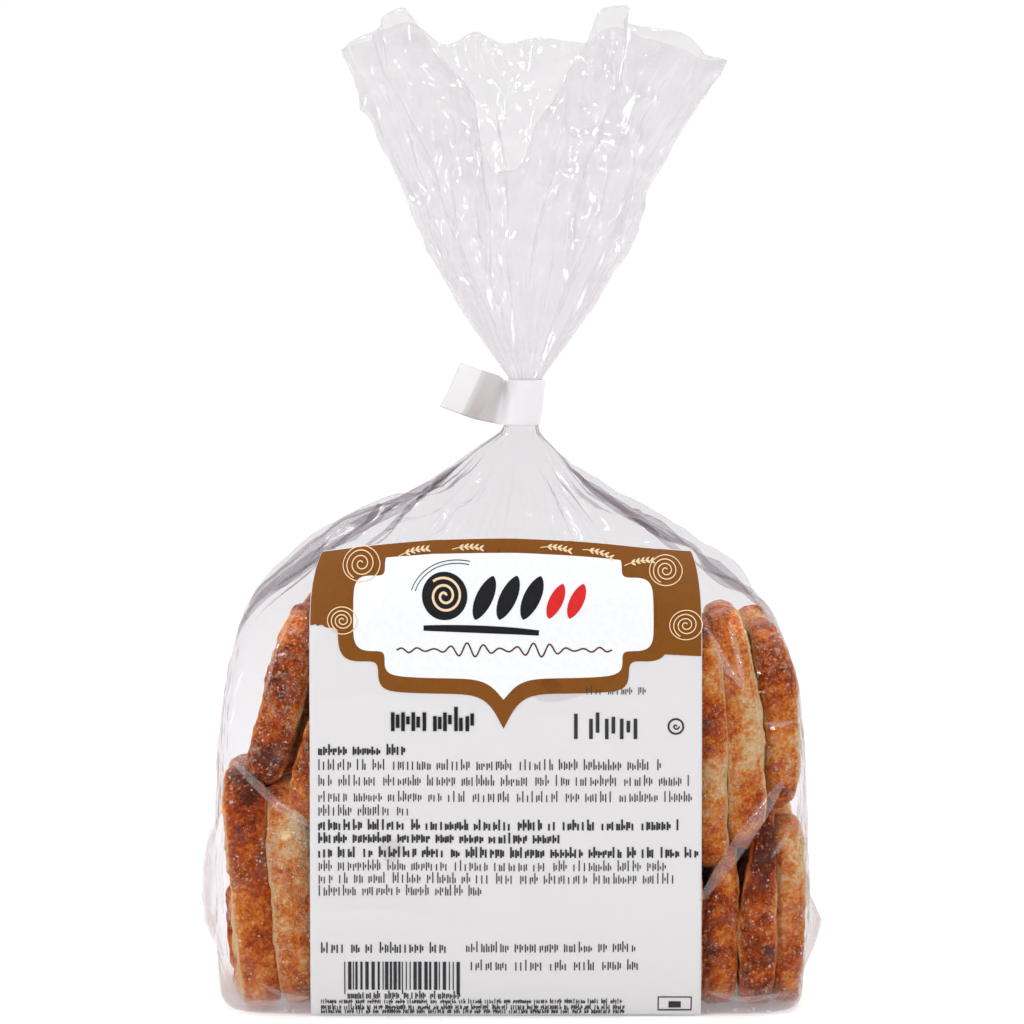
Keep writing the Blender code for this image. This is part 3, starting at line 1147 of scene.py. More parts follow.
@dataclass
class Palmier:
    """One palmier: a ribbon of dough rolled from both ends, sliced and baked."""

    spot: Spot
    shape: BagShape
    seed: int
    coil_turns: float = 2.35
    coil_radius: float = 15.4 * MM
    coil_core: float = 2.7 * MM
    coil_middle: float = 14.7 * MM
    coil_stretch: float = 6.6 * MM
    dough: float = 5.4 * MM
    squareness: float = 2.25
    half_height: float = 32 * MM
    half_width: float = 25 * MM
    side_gap: float = 1.0 * MM
    front_gap: float = 0.9 * MM
    base_gap: float = 1.9 * MM
    columns: int = 26
    rows: int = 330

    def path(self) -> Array:
        """The ribbon's middle line, from one coil's heart to the other's.

        Returns:
            Its points, evenly spaced.
        """
        away = np.linspace(0.0, 1.0, 400)
        angles = -0.5 * pi - tau * self.coil_turns * away
        radius = self.coil_radius + (self.coil_core - self.coil_radius) * away
        fold = self.coil_stretch * np.clip(1.6 * np.sin(angles), -1.0, 1.0)
        coil = joined(-self.coil_middle + radius * np.cos(angles),
                      radius * np.sin(angles) + fold * (1.0 - 0.55 * away))
        return evenly(np.concatenate([coil[::-1], coil * (-1.0, 1.0)]), 1200)

    def mesh(self, name: str) -> bpy.types.Mesh:
        """Sweep the ribbon's section along its middle line and set it in its place.

        Args:
            name: The mesh's name.

        Returns:
            The pastry's mesh.
        """
        spot = self.spot
        line = self.path()
        length = np.hypot(*np.diff(line, axis=0).T).sum()
        ahead = directions(line)
        index = np.linspace(0.0, 1.0, len(line))
        half_slice = 0.5 * spot.slice * MM
        draws = np.random.default_rng(self.seed)
        wide, tall = draws.uniform(0.96, 1.03, 2)
        noise = Noise(self.seed)
        kept = {}

        def place(u: Array, v: Array) -> Array:
            """The section runs round with u, the ribbon along with v.

            Args:
                u: Across the sheet, from 0 to 1.
                v: Up the sheet, from 0 to 1.

            Returns:
                The points.
            """
            middle, along = between(v, index, line), between(v, index, ahead)
            across, deep = np.cos(tau * u), np.sin(tau * u)
            square = corner_reach(across, deep, self.squareness)
            to_end = np.clip(np.minimum(v, 1.0 - v) * length / (0.5 * self.dough), 0.0, 1.0)
            closing = np.sqrt(1.0 - (1.0 - to_end) ** 2)
            thin = 1.0 + 0.10 * noise.at(joined(v * length, v, v), 14 * MM)
            out = 0.5 * self.dough * thin * across * square * closing
            flat = middle + out[:, None] * joined(along[:, 1], -along[:, 0])
            high = flat[:, 0] / (31 * MM) if spot.upright else flat[:, 1] / (24 * MM)
            taper = 1.0 - 0.30 * np.abs(high) ** 3.0
            narrow = spot.point * ramp(-0.3, 1.05, high)
            slab = half_slice * (deep * square * closing * taper * (1.0 - narrow) + 0.8 * narrow)
            outer = 1.0 - ramp(0.9, 1.3, np.abs(2.0 * v - 1.0) * self.coil_turns)
            kept["layers"] = out
            kept["rim"] = outer * ramp(0.2, 0.8, across * square)
            kept["corner"] = np.abs(across * deep) * 2.0
            return self.stand(flat * (wide * spot.size, tall * spot.size), slab)

        mesh = sheet(name, self.columns, self.rows, place, False)
        points = self.held(points_of(mesh))
        set_points(mesh, points)
        own = points + draws.uniform(0.0, 0.2, 3)
        lumps = (0.45 * noise.layered(own, 9 * MM, 2)
                 + 0.34 * noise.at(own * (1.0, 1.0, 1.9), 3.4 * MM)
                 + 0.20 * noise.at(own, 1.6 * MM)) * MM
        # Tone level: baked browning, plus painted shade darkening the lumps' hollows.
        browned = (spot.browned + 0.34 * noise.layered(own, 26 * MM, 2)
                   - 0.50 * (1.0 - kept["rim"]) - 0.12 * lumps / MM)
        pale = np.exp(-0.5 * ((points[:, 2] - spot.pale_at * MM) / (9 * MM)) ** 2)
        browned -= (0.36 * pale if spot.pale_at else 0.0)
        add_values(mesh, "browned", np.clip(browned, -0.2, 1.0))
        add_values(mesh, "layers", kept["layers"])
        add_values(mesh, "sugared", self.sugared(points, kept, noise))
        ruffle(mesh, lumps)
        return self.sealed(mesh)

    def sealed(self, mesh: bpy.types.Mesh) -> bpy.types.Mesh:
        """Merge the ribbon's seam and turn its normals outward.

        Args:
            mesh: The open ribbon.

        Returns:
            The same mesh, closed.
        """
        ribbon = bmesh.new()
        ribbon.from_mesh(mesh)
        bmesh.ops.remove_doubles(ribbon, verts=ribbon.verts, dist=0.001 * MM)
        bmesh.ops.recalc_face_normals(ribbon, faces=ribbon.faces)
        ribbon.to_mesh(mesh)
        ribbon.free()
        return mesh

    def stand(self, flat: Array, slab: Array) -> Array:
        """Turn points of the lying palmier to where it stands in the bag.

        Args:
            flat: Places on its face.
            slab: How far each is from its middle plane.

        Returns:
            One row of x, y and z for each.
        """
        spot = self.spot
        flat = self.squared(flat)
        long, short = flat.T
        deep, high = (short, long) if spot.upright else (long, short)
        x = slab + spot.bend * MM * (high / (30 * MM)) ** 2
        reach = 24.6 * MM if spot.upright else 31.6 * MM
        y = deep - (33.6 * MM - spot.back * MM) + reach
        turn = np.radians(spot.turn + spot.twist * high / (30 * MM))
        x, y = (x * np.cos(turn) - (y + 30 * MM) * np.sin(turn),
                x * np.sin(turn) + (y + 30 * MM) * np.cos(turn) - 30 * MM)
        lean = radians(spot.lean)
        x, z = x * cos(lean) + high * sin(lean), high * cos(lean) - x * sin(lean)
        return joined(x + spot.x * MM, y, z + spot.z * MM)

    def held(self, points: Array) -> Array:
        """Move the pastry as a whole until it is inside the film, then press in what is left.

        Args:
            points: Its points.

        Returns:
            Its points, inside the film.
        """
        x, y, z = points.T
        level = np.clip(z, self.shape.base_rounding, None)
        width = self.shape.section(level)[0] - self.side_gap
        left, right = self.shape.centre(level) - width, self.shape.centre(level) + width
        beyond = x - np.clip(x, left, right)
        x = np.clip(x - 0.5 * beyond[np.argmax(np.abs(beyond))], left, right)
        depth = self.shape.front(x, level) - self.front_gap
        y = np.minimum(y + 0.85 * np.max(np.clip(-depth - y, 0.0, None)), depth)
        return joined(x, np.maximum(y, -depth), np.maximum(z, self.base_gap))

    def squared(self, flat: Array) -> Array:
        """Fill out the round outline's corners, as slices packed side by side do.

        Args:
            flat: Places on the palmier's face.

        Returns:
            The new places.
        """
        even = flat / (self.half_height, self.half_width)
        size = np.hypot(*even.T) + 1e-9
        across, up = np.abs(even.T) / size
        corner = corner_reach(across, up, 3.4)
        return flat * (1.0 + 0.75 * (corner - 1.0) * np.clip(size, 0.0, 1.0) ** 2)[:, None]

    def sugared(self, points: Array, kept: dict, noise: Noise) -> Array:
        """How thickly the sugar sticks to each point.

        Args:
            points: The pastry's points.
            kept: What the sweep kept for each point.
            noise: The pastry's own noise.

        Returns:
            One thickness for each.
        """
        clumps = np.clip(0.45 + 1.2 * noise.at(points, 9 * MM), 0.0, 1.0)
        return (self.spot.sugar * (0.2 + 0.8 * clumps) * (0.2 + 0.8 * kept["rim"])
                * (0.45 + 0.9 * kept["corner"]))


@dataclass(frozen=True)
class Scatter:
    """Grains strewn over a surface and realised as one mesh."""

    name: str
    per_square_metre: float
    smallest: float
    largest: float
    seed: int

    def over(self, host: bpy.types.Mesh, grain: bpy.types.Mesh) -> bpy.types.Mesh:
        """Strew the grains.

        Args:
            host: The surface, whose sugared attribute says how thickly they lie.
            grain: One grain, about 1 m in size.

        Returns:
            All the grains as one mesh.
        """
        group = bpy.data.node_groups.new(self.name, "GeometryNodeTree")
        for way in ("INPUT", "OUTPUT"):
            group.interface.new_socket("Geometry", in_out=way, socket_type="NodeSocketGeometry")
        start, end, thickness, density, strewn, info, turns, sizes, laid, solid = (
            group.nodes.new(kind) for kind in (
                "NodeGroupInput", "NodeGroupOutput", "GeometryNodeInputNamedAttribute",
                "ShaderNodeMath", "GeometryNodeDistributePointsOnFaces", "GeometryNodeObjectInfo",
                "FunctionNodeRandomValue", "FunctionNodeRandomValue",
                "GeometryNodeInstanceOnPoints", "GeometryNodeRealizeInstances"))
        held = bpy.data.objects.new("grain", grain)
        density.operation = "MULTIPLY"
        turns.data_type = "FLOAT_VECTOR"
        for node, socket, value in (
                (thickness, "Name", "sugared"), (density, 1, self.per_square_metre),
                (strewn, "Seed", self.seed), (info, "Object", held), (turns, 1, (tau, tau, tau)),
                (sizes, 2, self.smallest), (sizes, 3, self.largest),
                (sizes, "Seed", self.seed + 1)):
            node.inputs[socket].default_value = value
        for source, target in (
                (start.outputs[0], strewn.inputs["Mesh"]),
                (thickness.outputs[0], density.inputs[0]),
                (density.outputs[0], strewn.inputs["Density"]),
                (strewn.outputs["Points"], laid.inputs["Points"]),
                (info.outputs["Geometry"], laid.inputs["Instance"]),
                (turns.outputs[0], laid.inputs["Rotation"]),
                (sizes.outputs[1], laid.inputs["Scale"]),
                (laid.outputs[0], solid.inputs[0]),
                (solid.outputs[0], end.inputs[0])):
            group.links.new(source, target)
        holder = add_object("host", host)
        holder.modifiers.new("Grains", "NODES").node_group = group
        strewing = holder.evaluated_get(bpy.context.evaluated_depsgraph_get())
        mesh = bpy.data.meshes.new_from_object(strewing)
        mesh.name = self.name
        bpy.data.objects.remove(holder)
        bpy.data.objects.remove(held)
        return mesh


@dataclass
class PalmierPile:
    """All the pastries in the bag, with their sugar and the crumbs under them."""

    shape: BagShape
    front_row: tuple[Spot, ...] = (
        Spot(-69.6, 31.9, True, lean=-5.0, turn=6.0, twist=-4.0, browned=0.76, slice=12.4),
        Spot(-57.4, 31.8, True, lean=-4.0, browned=0.49, pale_at=26.0, slice=12.4, sugar=2.4,
             size=0.97),
        Spot(54.4, 24.6, False, lean=1.0, browned=0.86, slice=10.6, size=0.97, point=0.5),
        Spot(64.4, 28.8, False, lean=0.6, browned=1.06, slice=10.2, size=1.12, point=0.55),
        Spot(73.4, 27.4, False, browned=0.48, slice=8.8),
        Spot(51.2, 70.5, True, lean=-2.0, browned=0.66, pale_at=44.0, slice=10.2),
        Spot(60.4, 74.6, True, lean=-5.5, browned=0.55, pale_at=76.0, bend=-2.0, slice=10.6),
        Spot(72.0, 79.2, False, lean=-5.0, browned=0.50, bend=-3.4, slice=10.6, sugar=1.3,
             size=1.03),
        Spot(-59.4, 84.6, False, lean=15.5, turn=-3.0, browned=0.66, slice=11.4, sugar=1.2),
        Spot(-49.0, 72.6, False, lean=16.0, browned=0.68, slice=11.4),
    )
    coarse: Scatter = Scatter("sugar_coarse", 55000.0, 0.22 * MM, 0.46 * MM, 3)
    fine: Scatter = Scatter("sugar_fine", 500000.0, 0.12 * MM, 0.32 * MM, 8)
    flakes: Scatter = Scatter("crumbs", 50000.0, 0.5 * MM, 2.0 * MM, 14)
    flakes_browned: float = 0.55
    trays: tuple[Triple, ...] = (
        (0.0, -0.0285, 0.142), (-0.069, -0.010, 0.012), (0.069, 0.0, 0.012))

    def spots(self) -> list[Spot]:
        """Every pastry's place: those at the sides, then those behind the label.

        Returns:
            The places.
        """
        places = list(self.front_row)
        draws = np.random.default_rng(5)
        hidden = [(x, 32.0, True, 0.0) for x in (-46.6, -36.4, -26.2, -16.0, -5.6)]
        hidden += [(x, 25.0, False, 0.0) for x in (4.8, 15.0, 25.2, 35.2, 45.0)]
        hidden += [(x, 81.5, True, -1.0) for x in (41.2, 31.0, 20.6, 10.2)]
        hidden += [(x, 90.0, False, 2.0 - 0.18 * x) for x in (-38.5, -28.0, -17.6, -7.2)]
        for x, z, upright, lean in hidden:
            places.append(Spot(x, z, upright, lean=lean + draws.uniform(-1.2, 1.2),
                               browned=draws.uniform(0.56, 0.84), slice=10.3,
                               back=draws.choice((0.0, 14.0)) if upright else 1.5))
        return places

    def build(self) -> None:
        """Bake the pastries and strew their sugar and crumbs."""
        crust = BakedPastry()
        surface = bmesh.new()
        for number, spot in enumerate(self.spots(), 1):
            mesh = Palmier(spot, self.shape, 100 + number).mesh(f"pastry_{number:02d}")
            surface.from_mesh(mesh)
            add_piece(mesh, crust, StandsFor.BAG)
        host = finished(surface, "crusts")
        self.keep_outer(host)
        for scatter, corners in ((self.coarse, 4), (self.fine, 3)):
            grains = scatter.over(host.copy(), self.grain(corners))
            add_piece(grains, SugarGrain(), StandsFor.BAG)
            grains.shade_flat()
        self.crumbs()

    def crumbs(self) -> None:
        """Flakes that have fallen to the base, mostly along its front."""
        tray = bmesh.new()
        for x, y, width in self.trays:
            spread = Matrix(((width, 0, 0, x), (0, 0.005, 0, y), (0, 0, 1, 0.7 * MM),
                             (0, 0, 0, 1)))
            bmesh.ops.create_grid(tray, x_segments=8, y_segments=1, size=0.5, matrix=spread)
        host = finished(tray, "tray")
        add_values(host, "sugared", np.ones(len(host.vertices)))
        ball = bmesh.new()
        bmesh.ops.create_icosphere(ball, subdivisions=2, radius=0.5)
        flake = finished(ball, "flake")
        points = points_of(flake)
        uneven = 1.0 + 0.5 * Noise(17).at(points, 0.35)
        set_points(flake, points * uneven[:, None] * (1.0, 0.7, 0.45))
        flakes = self.flakes.over(host, flake)
        add_values(flakes, "browned", np.full(len(flakes.vertices), self.flakes_browned))
        add_piece(flakes, BakedPastry(), StandsFor.BAG)

    @staticmethod
    def grain(corners: int) -> bpy.types.Mesh:
        """One crystal, about 1 m in size: a block of four sides, or a three-sided shard.

        Args:
            corners: 4 for a block or 3 for a shard.

        Returns:
            The mesh.
        """
        crystal = bmesh.new()
        bmesh.ops.create_cone(crystal, cap_ends=True, segments=corners, radius1=0.7, depth=1.0,
                              radius2=0.6 if corners > 3 else 0.0)
        bmesh.ops.remove_doubles(crystal, verts=crystal.verts, dist=0.01)
        return finished(crystal, "grain")

    def keep_outer(self, host: bpy.types.Mesh) -> None:
        """Leave sugar only where it can be seen: near the film.

        Args:
            host: All the crusts, with their sugared values.
        """
        x, y, z = points_of(host).T
        width, depth, _ = self.shape.section(z)
        nearness = np.maximum(np.abs(x) / width, np.abs(y) / depth)
        seen = ramp(0.80, 0.93, nearness)
        layer = host.attributes["sugared"].data
        values = np.empty(len(x), np.float32)
        layer.foreach_get("value", values)
        values *= seen * (1.0 - 0.9 * (np.abs(x) < 46 * MM) * (y < 0.0))
        layer.foreach_set("value", values)


# --- Label and tape ---

@dataclass
class LabelSurface:
    """Where the label lies: places on it are across and height in metres."""

    shape: BagShape
    left: float = -52.6 * MM
    right: float = 49.4 * MM
    bottom: float = 1.0 * MM
    top: float = 124.2 * MM
    corner_drop: float = 4.2 * MM
    gap: float = 0.75 * MM
    step: float = 0.25 * MM
    nearby: float = 0.5 * MM
    noise: Noise = field(default_factory=lambda: Noise(21))

    def __post_init__(self) -> None:
        """Measure round the bag's front at a range of heights."""
        self.heights = np.arange(0.0, 130 * MM, 1 * MM)
        reach = np.arange(0.0, 70 * MM, self.step)
        high, wide = np.meshgrid(self.heights, reach, indexing="ij")
        depth = self.shape.front(wide, high)
        steps = np.hypot(self.step, np.diff(depth, axis=1))
        runs = np.concatenate([np.zeros((len(steps), 1)), np.cumsum(steps, axis=1)], axis=1)
        self.reach = np.array([np.interp(reach, run, reach) for run in runs])

    def base(self, across: Array, height: Array) -> Array:
        """Points on the film under the label.

        Args:
            across: Places across the label.
            height: Their heights.

        Returns:
            One row of x, y and z for each.
        """
        row = np.clip(height / MM, 0.0, len(self.heights) - 1.001)
        column = np.clip(np.abs(across) / self.step, 0.0, self.reach.shape[1] - 1.001)
        up, out = row.astype(int), column.astype(int)
        rise, run = row - up, column - out
        lower = self.reach[up, out] * (1.0 - run) + self.reach[up, out + 1] * run
        upper = self.reach[up + 1, out] * (1.0 - run) + self.reach[up + 1, out + 1] * run
        x = np.sign(across) * (lower * (1.0 - rise) + upper * rise)
        return joined(x, -self.shape.front(x, height), height)

    def points(self, across: Array, height: Array, lift: float) -> Array:
        """Points a little in front of the film, on the rippled label.

        Args:
            across: Places across the label.
            height: Their heights.
            lift: How far in front of the paper.

        Returns:
            One row of x, y and z for each.
        """
        here = self.base(across, height)
        ahead = self.base(across + self.nearby, height) - here
        above = self.base(across, height + self.nearby) - here
        normal = np.cross(ahead, above)
        normal /= np.linalg.norm(normal, axis=-1)[:, None]
        away = self.gap + lift + self.ripple(across, height)
        return here + normal * away[:, None]

    def ripple(self, across: Array, height: Array) -> Array:
        """Soft waves and a few creases of the paper.

        Args:
            across: Places across the label.
            height: Their heights.

        Returns:
            How far the paper stands off there.
        """
        flat = joined(across, height, np.zeros_like(across))
        waves = 0.8 * MM * self.noise.layered(flat * (1.0, 0.8, 1.0), 32 * MM, 2)
        creases = 0.45 * MM * self.noise.creases(flat + 1.0, 26 * MM) ** 2
        return (waves + creases) * ramp(2 * MM, 9 * MM, height)

    def top_at(self, across: Array) -> Array:
        """The height of the label's top edge."""
        return self.top - self.corner_drop * (across / (50 * MM)) ** 2


class InkLayer:
    """Print of one colour, drawn flat in millimetres and then laid on the label."""

    CELL = 1.6
    SPANS = ((-52.0, 52.0), (0.0, 126.0))

    def __init__(self, name: str, ink: PrintInk, lift: float) -> None:
        """Start an empty layer.

        Args:
            name: The piece's name.
            ink: The ink's finish.
            lift: How far in front of the paper it lies, in metres.
        """
        self.name, self.ink, self.lift = name, ink, lift
        self.flat = bmesh.new()

    def blob(self, outline: Array) -> None:
        """Fill a closed outline, given anticlockwise.

        Args:
            outline: Points of x and y.
        """
        ring = bmesh.ops.create_circle(self.flat, cap_ends=True, segments=len(outline), radius=1.0)
        for vert, (x, y) in zip(ring["verts"], outline):
            vert.co = (x, y, 0.0)

    def band(self, across: Array, low: Array, high: Array) -> None:
        """Fill a band between two lines, given where both are at the same places across.

        Args:
            across: Those places.
            low: The lower line there.
            high: The upper line there.
        """
        made = bmesh.ops.create_grid(self.flat, x_segments=len(across) - 1, y_segments=1, size=0.5)
        for vert in made["verts"]:
            column = round((vert.co.x + 0.5) * (len(across) - 1))
            vert.co = (across[column], low[column] if vert.co.y < 0.0 else high[column], 0.0)

    def box(self, x: float, y: float, width: float, height: float) -> None:
        """Fill an upright box, given its middle.

        Args:
            x: Its middle across.
            y: Its middle's height.
            width: Its width.
            height: Its height.
        """
        spread = Matrix(((width, 0, 0, x), (0, height, 0, y), (0, 0, 1, 0), (0, 0, 0, 1)))
        bmesh.ops.create_grid(self.flat, x_segments=1, y_segments=1, size=0.5, matrix=spread)

    def stroke(self, path: Array, width: float, taper: float = 0.0) -> None:
        """Draw a line along a path, thinner at its ends by taper.

        Args:
            path: Points of x and y.
            width: The line's width.
            taper: What its ends lose of it, from 0 to 1.
        """
        count = len(path) - 1
        made = bmesh.ops.create_grid(self.flat, x_segments=count, y_segments=1, size=0.5)
        flat = np.array([vert.co for vert in made["verts"]]) + 0.5
        along = directions(path)
        index = np.rint(flat[:, 0] * count).astype(int)
        share = 1.0 - taper * (2.0 * flat[:, 0] - 1.0) ** 2
        side = (flat[:, 1] - 0.5)[:, None] * width * share[:, None]
        spots = path[index] + side * joined(-along[:, 1], along[:, 0])[index]
        for vert, (x, y) in zip(made["verts"], spots):
            vert.co = (x, y, 0.0)

    def words(self, start: float, end: float, y: float, size: float, weight: float,
              seed: int | np.random.Generator) -> None:
        """Fill a row with upright ticks and dots, grouped like words but without letters.

        Args:
            start: The row's left end.
            end: Its right end.
            y: Its middle's height.
            size: How tall a tick is.
            weight: How wide a tick is.
            seed: What its random draws start from, or a generator to draw on with.
        """
        draws = np.random.default_rng(seed)
        x, left = start, draws.integers(3, 10)
        while x < end:
            if left > 0:
                tall = draws.choice((1.0, 1.0, 0.8, 1.3))
                self.box(x, y + 0.5 * size * (tall - 1.0), weight, size * tall)
                if draws.random() < 0.7:
                    short = draws.uniform(0.35, 0.8)
                    self.box(x + 0.26 * size, y + size * draws.uniform(-0.15, 0.15), weight,
                             size * short)
            left = left - 1 if left > 0 else draws.integers(2, 10)
            x += 0.58 * size * draws.uniform(0.92, 1.08)

    def lay(self, surface: LabelSurface) -> None:
        """Cut the print into small cells and lay it on the label.

        Args:
            surface: The label's surface.
        """
        flat = self.flat
        bmesh.ops.triangulate(flat, faces=flat.faces)
        for axis, (low, high) in enumerate(self.SPANS):
            for cut in np.arange(low, high, self.CELL):
                spot, normal = [0.0, 0.0, 0.0], [0.0, 0.0, 0.0]
                spot[axis], normal[axis] = cut, 1.0
                bmesh.ops.bisect_plane(flat, geom=[*flat.verts, *flat.edges, *flat.faces],
                                       plane_co=spot, plane_no=normal, dist=1e-5)
        mesh = finished(flat, self.name)
        places = points_of(mesh) * MM
        set_points(mesh, surface.points(places[:, 0], places[:, 1], self.lift))
        add_piece(mesh, self.ink, StandsFor.LABEL)


def spiral(x: float, y: float, inner: float, outer: float, turns: float,
           start: float = 0.0, squash: float = 1.0) -> Array:
    """A flat spiral's path round a middle.

    Args:
        x: The middle across.
        y: The middle's height.
        inner: First radius.
        outer: Last radius.
        turns: How many times round.
        start: First angle, in radians.
        squash: Height over width.

    Returns:
        Points of x and y.
    """
    share = np.linspace(0.0, 1.0, int(28 * abs(turns)))
    angle = start + tau * turns * share
    radius = inner + (outer - inner) * share
    return joined(x + radius * np.cos(angle), y + squash * radius * np.sin(angle))


@dataclass
class PaperLabel:
    """The printed paper label on the bag's front. Its print is generic: no lettering."""

    shape: BagShape
    paper: float = 0.16 * MM

    def build(self) -> None:
        """Make the paper and lay its print on it."""
        self.surface = LabelSurface(self.shape)
        self.sheet()
        self.header()
        self.plaque()
        self.emblem()
        self.text()

    def sheet(self) -> None:
        """The paper itself."""
        surface = self.surface

        def place(u: Array, v: Array) -> Array:
            """Rows crowd at the base's rounding and follow the curved top edge.

            Args:
                u: Across the sheet, from 0 to 1.
                v: Up the sheet, from 0 to 1.

            Returns:
                The points.
            """
            across = surface.left + (surface.right - surface.left) * u
            height = surface.bottom + (surface.top_at(across) - surface.bottom) * v ** 1.25
            return surface.points(across, height, 0.0)

        paper = sheet("label_paper", 120, 156, place, False)
        add_piece(paper, LabelPaper(), StandsFor.LABEL, self.paper)

    def header(self) -> None:
        """The brown band across the label's top, worn along its lower left edge."""
        brown = InkLayer("label_brown", PrintInk("BrownInk", (0.198, 0.066, 0.008)), 0.20 * MM)
        across = np.linspace(-52.4, 49.2, 160)
        top = self.surface.top_at(across * MM) / MM - 0.25
        low = 97.3 - 2.6 * (across / 50.0)
        wear = np.random.default_rng(2).uniform(-0.3, 0.3, len(across))
        low = low + np.where(across < -30, 1.0, 0.1) * wear + 2.4 * ramp(-38.0, -50.0, across)
        brown.band(across, low, top)
        brown.blob(self.frame(4.0))
        brown.lay(self.surface)

    def frame(self, grow: float) -> Array:
        """The plaque's outline with scalloped sides and a short point below.

        Args:
            grow: How far outside the white plaque it runs.

        Returns:
            Points of x and y.
        """
        angle = np.linspace(0.0, tau, 320, endpoint=False)
        across, up = np.cos(angle), np.sin(angle)
        square = corner_reach(across, up, 5)
        x, y = (39.0 + grow) * square * across, (16.2 + grow) * square * up
        notch = np.exp(-(((np.abs(x) - 37.5) / 4.6) ** 2 + ((np.abs(y) - 15.0) / 4.6) ** 2))
        x, y = x * (1.0 - 0.17 * notch), y * (1.0 - 0.36 * notch)
        y = y - (5.5 + 0.9 * grow) * np.exp(-(np.abs(x) / 3.4) ** 1.2) * (up < 0.0)
        top = 120.4 + 0.3 * grow - 0.0016 * x ** 2
        return joined(x - 2.2, np.minimum(y + 105.3, top))

    def plaque(self) -> None:
        """The white plaque and the cream line drawings round it."""
        white = InkLayer("label_plaque", PrintInk("PlaqueWhite", (0.80, 0.82, 0.86)), 0.25 * MM)
        white.blob(self.frame(0.0))
        white.lay(self.surface)
        cream = InkLayer("label_motifs", PrintInk("CreamInk", (0.82, 0.60, 0.38)), 0.36 * MM)
        for x, y, size in ((-44.0, 103.5, 3.0), (-39.5, 117.2, 4.2), (40.5, 116.0, 3.6),
                           (45.2, 102.5, 3.4)):
            cream.stroke(spiral(x, y, 0.4, size, 2.6, 0.5, 0.9), 0.28)
            cream.stroke(spiral(x, y, size + 0.8, size + 0.9, 1.0, 0.2, 0.85), 0.25)
        for x, y, lean in ((-26.0, 120.6, 0.5), (22.0, 121.0, -0.5), (33.0, 118.5, 0.3),
                           (-12.0, 121.8, 0.1), (11.0, 122.0, -0.2)):
            self.ear(cream, x, y, 3.6, lean, 0.22)
        cream.stroke(spiral(-17.5, 109.8, 0.4, 4.6, 2.3, 0.4), 0.62)
        cream.lay(self.surface)

    @staticmethod
    def ear(ink: InkLayer, x: float, y: float, size: float, lean: float, width: float) -> None:
        """Draw a lying ear of wheat: a bent stalk with pointed grains along it.

        Args:
            ink: The print that it is part of.
            x: Its middle across.
            y: Its middle's height.
            size: Half its length.
            lean: Its slope.
            width: The stalk's width.
        """
        share = np.linspace(-1.0, 1.0, 12)
        stalk = joined(x + size * share, y + 0.5 * size * (lean * share - 0.3 * share ** 2))
        ink.stroke(stalk, width)
        turn = np.linspace(0.0, tau, 14, endpoint=False)
        for spot in stalk[3::2]:
            for side in (-1.0, 1.0):
                way = radians(24) * lean + side * radians(34)
                long = 0.19 * size * (1.0 + np.cos(turn))
                wide = 0.085 * size * np.sin(turn) * np.sqrt(0.5 - 0.5 * np.cos(turn) + 0.2)
                ink.blob(joined(spot[0] + long * cos(way) - wide * sin(way),
                                spot[1] + long * sin(way) + wide * cos(way)))

    def emblem(self) -> None:
        """A black disc and leaves, red leaves, a bar below them and a long flourish."""
        black = InkLayer("label_black", PrintInk("BlackInk", (0.012, 0.012, 0.014)), 0.31 * MM)
        share = np.linspace(0.0, 1.0, 24)
        turn = np.linspace(0.0, tau, 48, endpoint=False)
        black.blob(joined(-17.5 + 5.9 * np.cos(turn), 109.8 + 5.9 * np.sin(turn)))
        for x in (-7.2, -1.0, 5.2):
            black.blob(self.leaf(x, 109.4, 5.4, 2.3))
        black.stroke(joined(-23.0 + 30.0 * share, 101.9 - 1.2 * share ** 2), 1.9, 0.3)
        for radius in (11.5, 12.5):
            bow = pi * (0.42 + 0.50 * share)
            arch = joined(-14.0 + radius * np.cos(bow), 108.6 + 0.8 * radius * np.sin(bow))
            black.stroke(arch, 0.22)
        black.words(-31.0, -8.0, 77.8, 4.9, 0.95, 3)
        black.lay(self.surface)
        red = InkLayer("label_red", PrintInk("RedInk", (0.62, 0.022, 0.022)), 0.31 * MM)
        for x in (11.4, 16.8):
            red.blob(self.leaf(x, 108.6, 4.3, 1.9))
        red.lay(self.surface)
        script = InkLayer("label_script", PrintInk("ScriptInk", (0.10, 0.038, 0.012)), 0.31 * MM)
        share = np.linspace(0.0, 1.0, 260)
        swing = 0.6 + 0.4 * np.cos(tau * 3 * share)
        wave = 96.4 + 1.9 * np.sin(tau * 13 * share) * np.sin(pi * share) ** 0.5 * swing
        script.stroke(joined(-30.0 + 56.0 * share, wave), 0.42)
        script.lay(self.surface)

    @staticmethod
    def leaf(x: float, y: float, size: float, width: float) -> Array:
        """A leaning pointed leaf's outline.

        Args:
            x: Its middle across.
            y: Its middle's height.
            size: Half its height.
            width: Half its width.

        Returns:
            Points of x and y.
        """
        turn = np.linspace(0.0, tau, 28, endpoint=False)
        long = size * np.sin(turn)
        wide = width * np.cos(turn) * np.abs(np.cos(turn)) ** 0.35
        return joined(x + wide + 0.42 * long, y + long - 0.12 * wide)

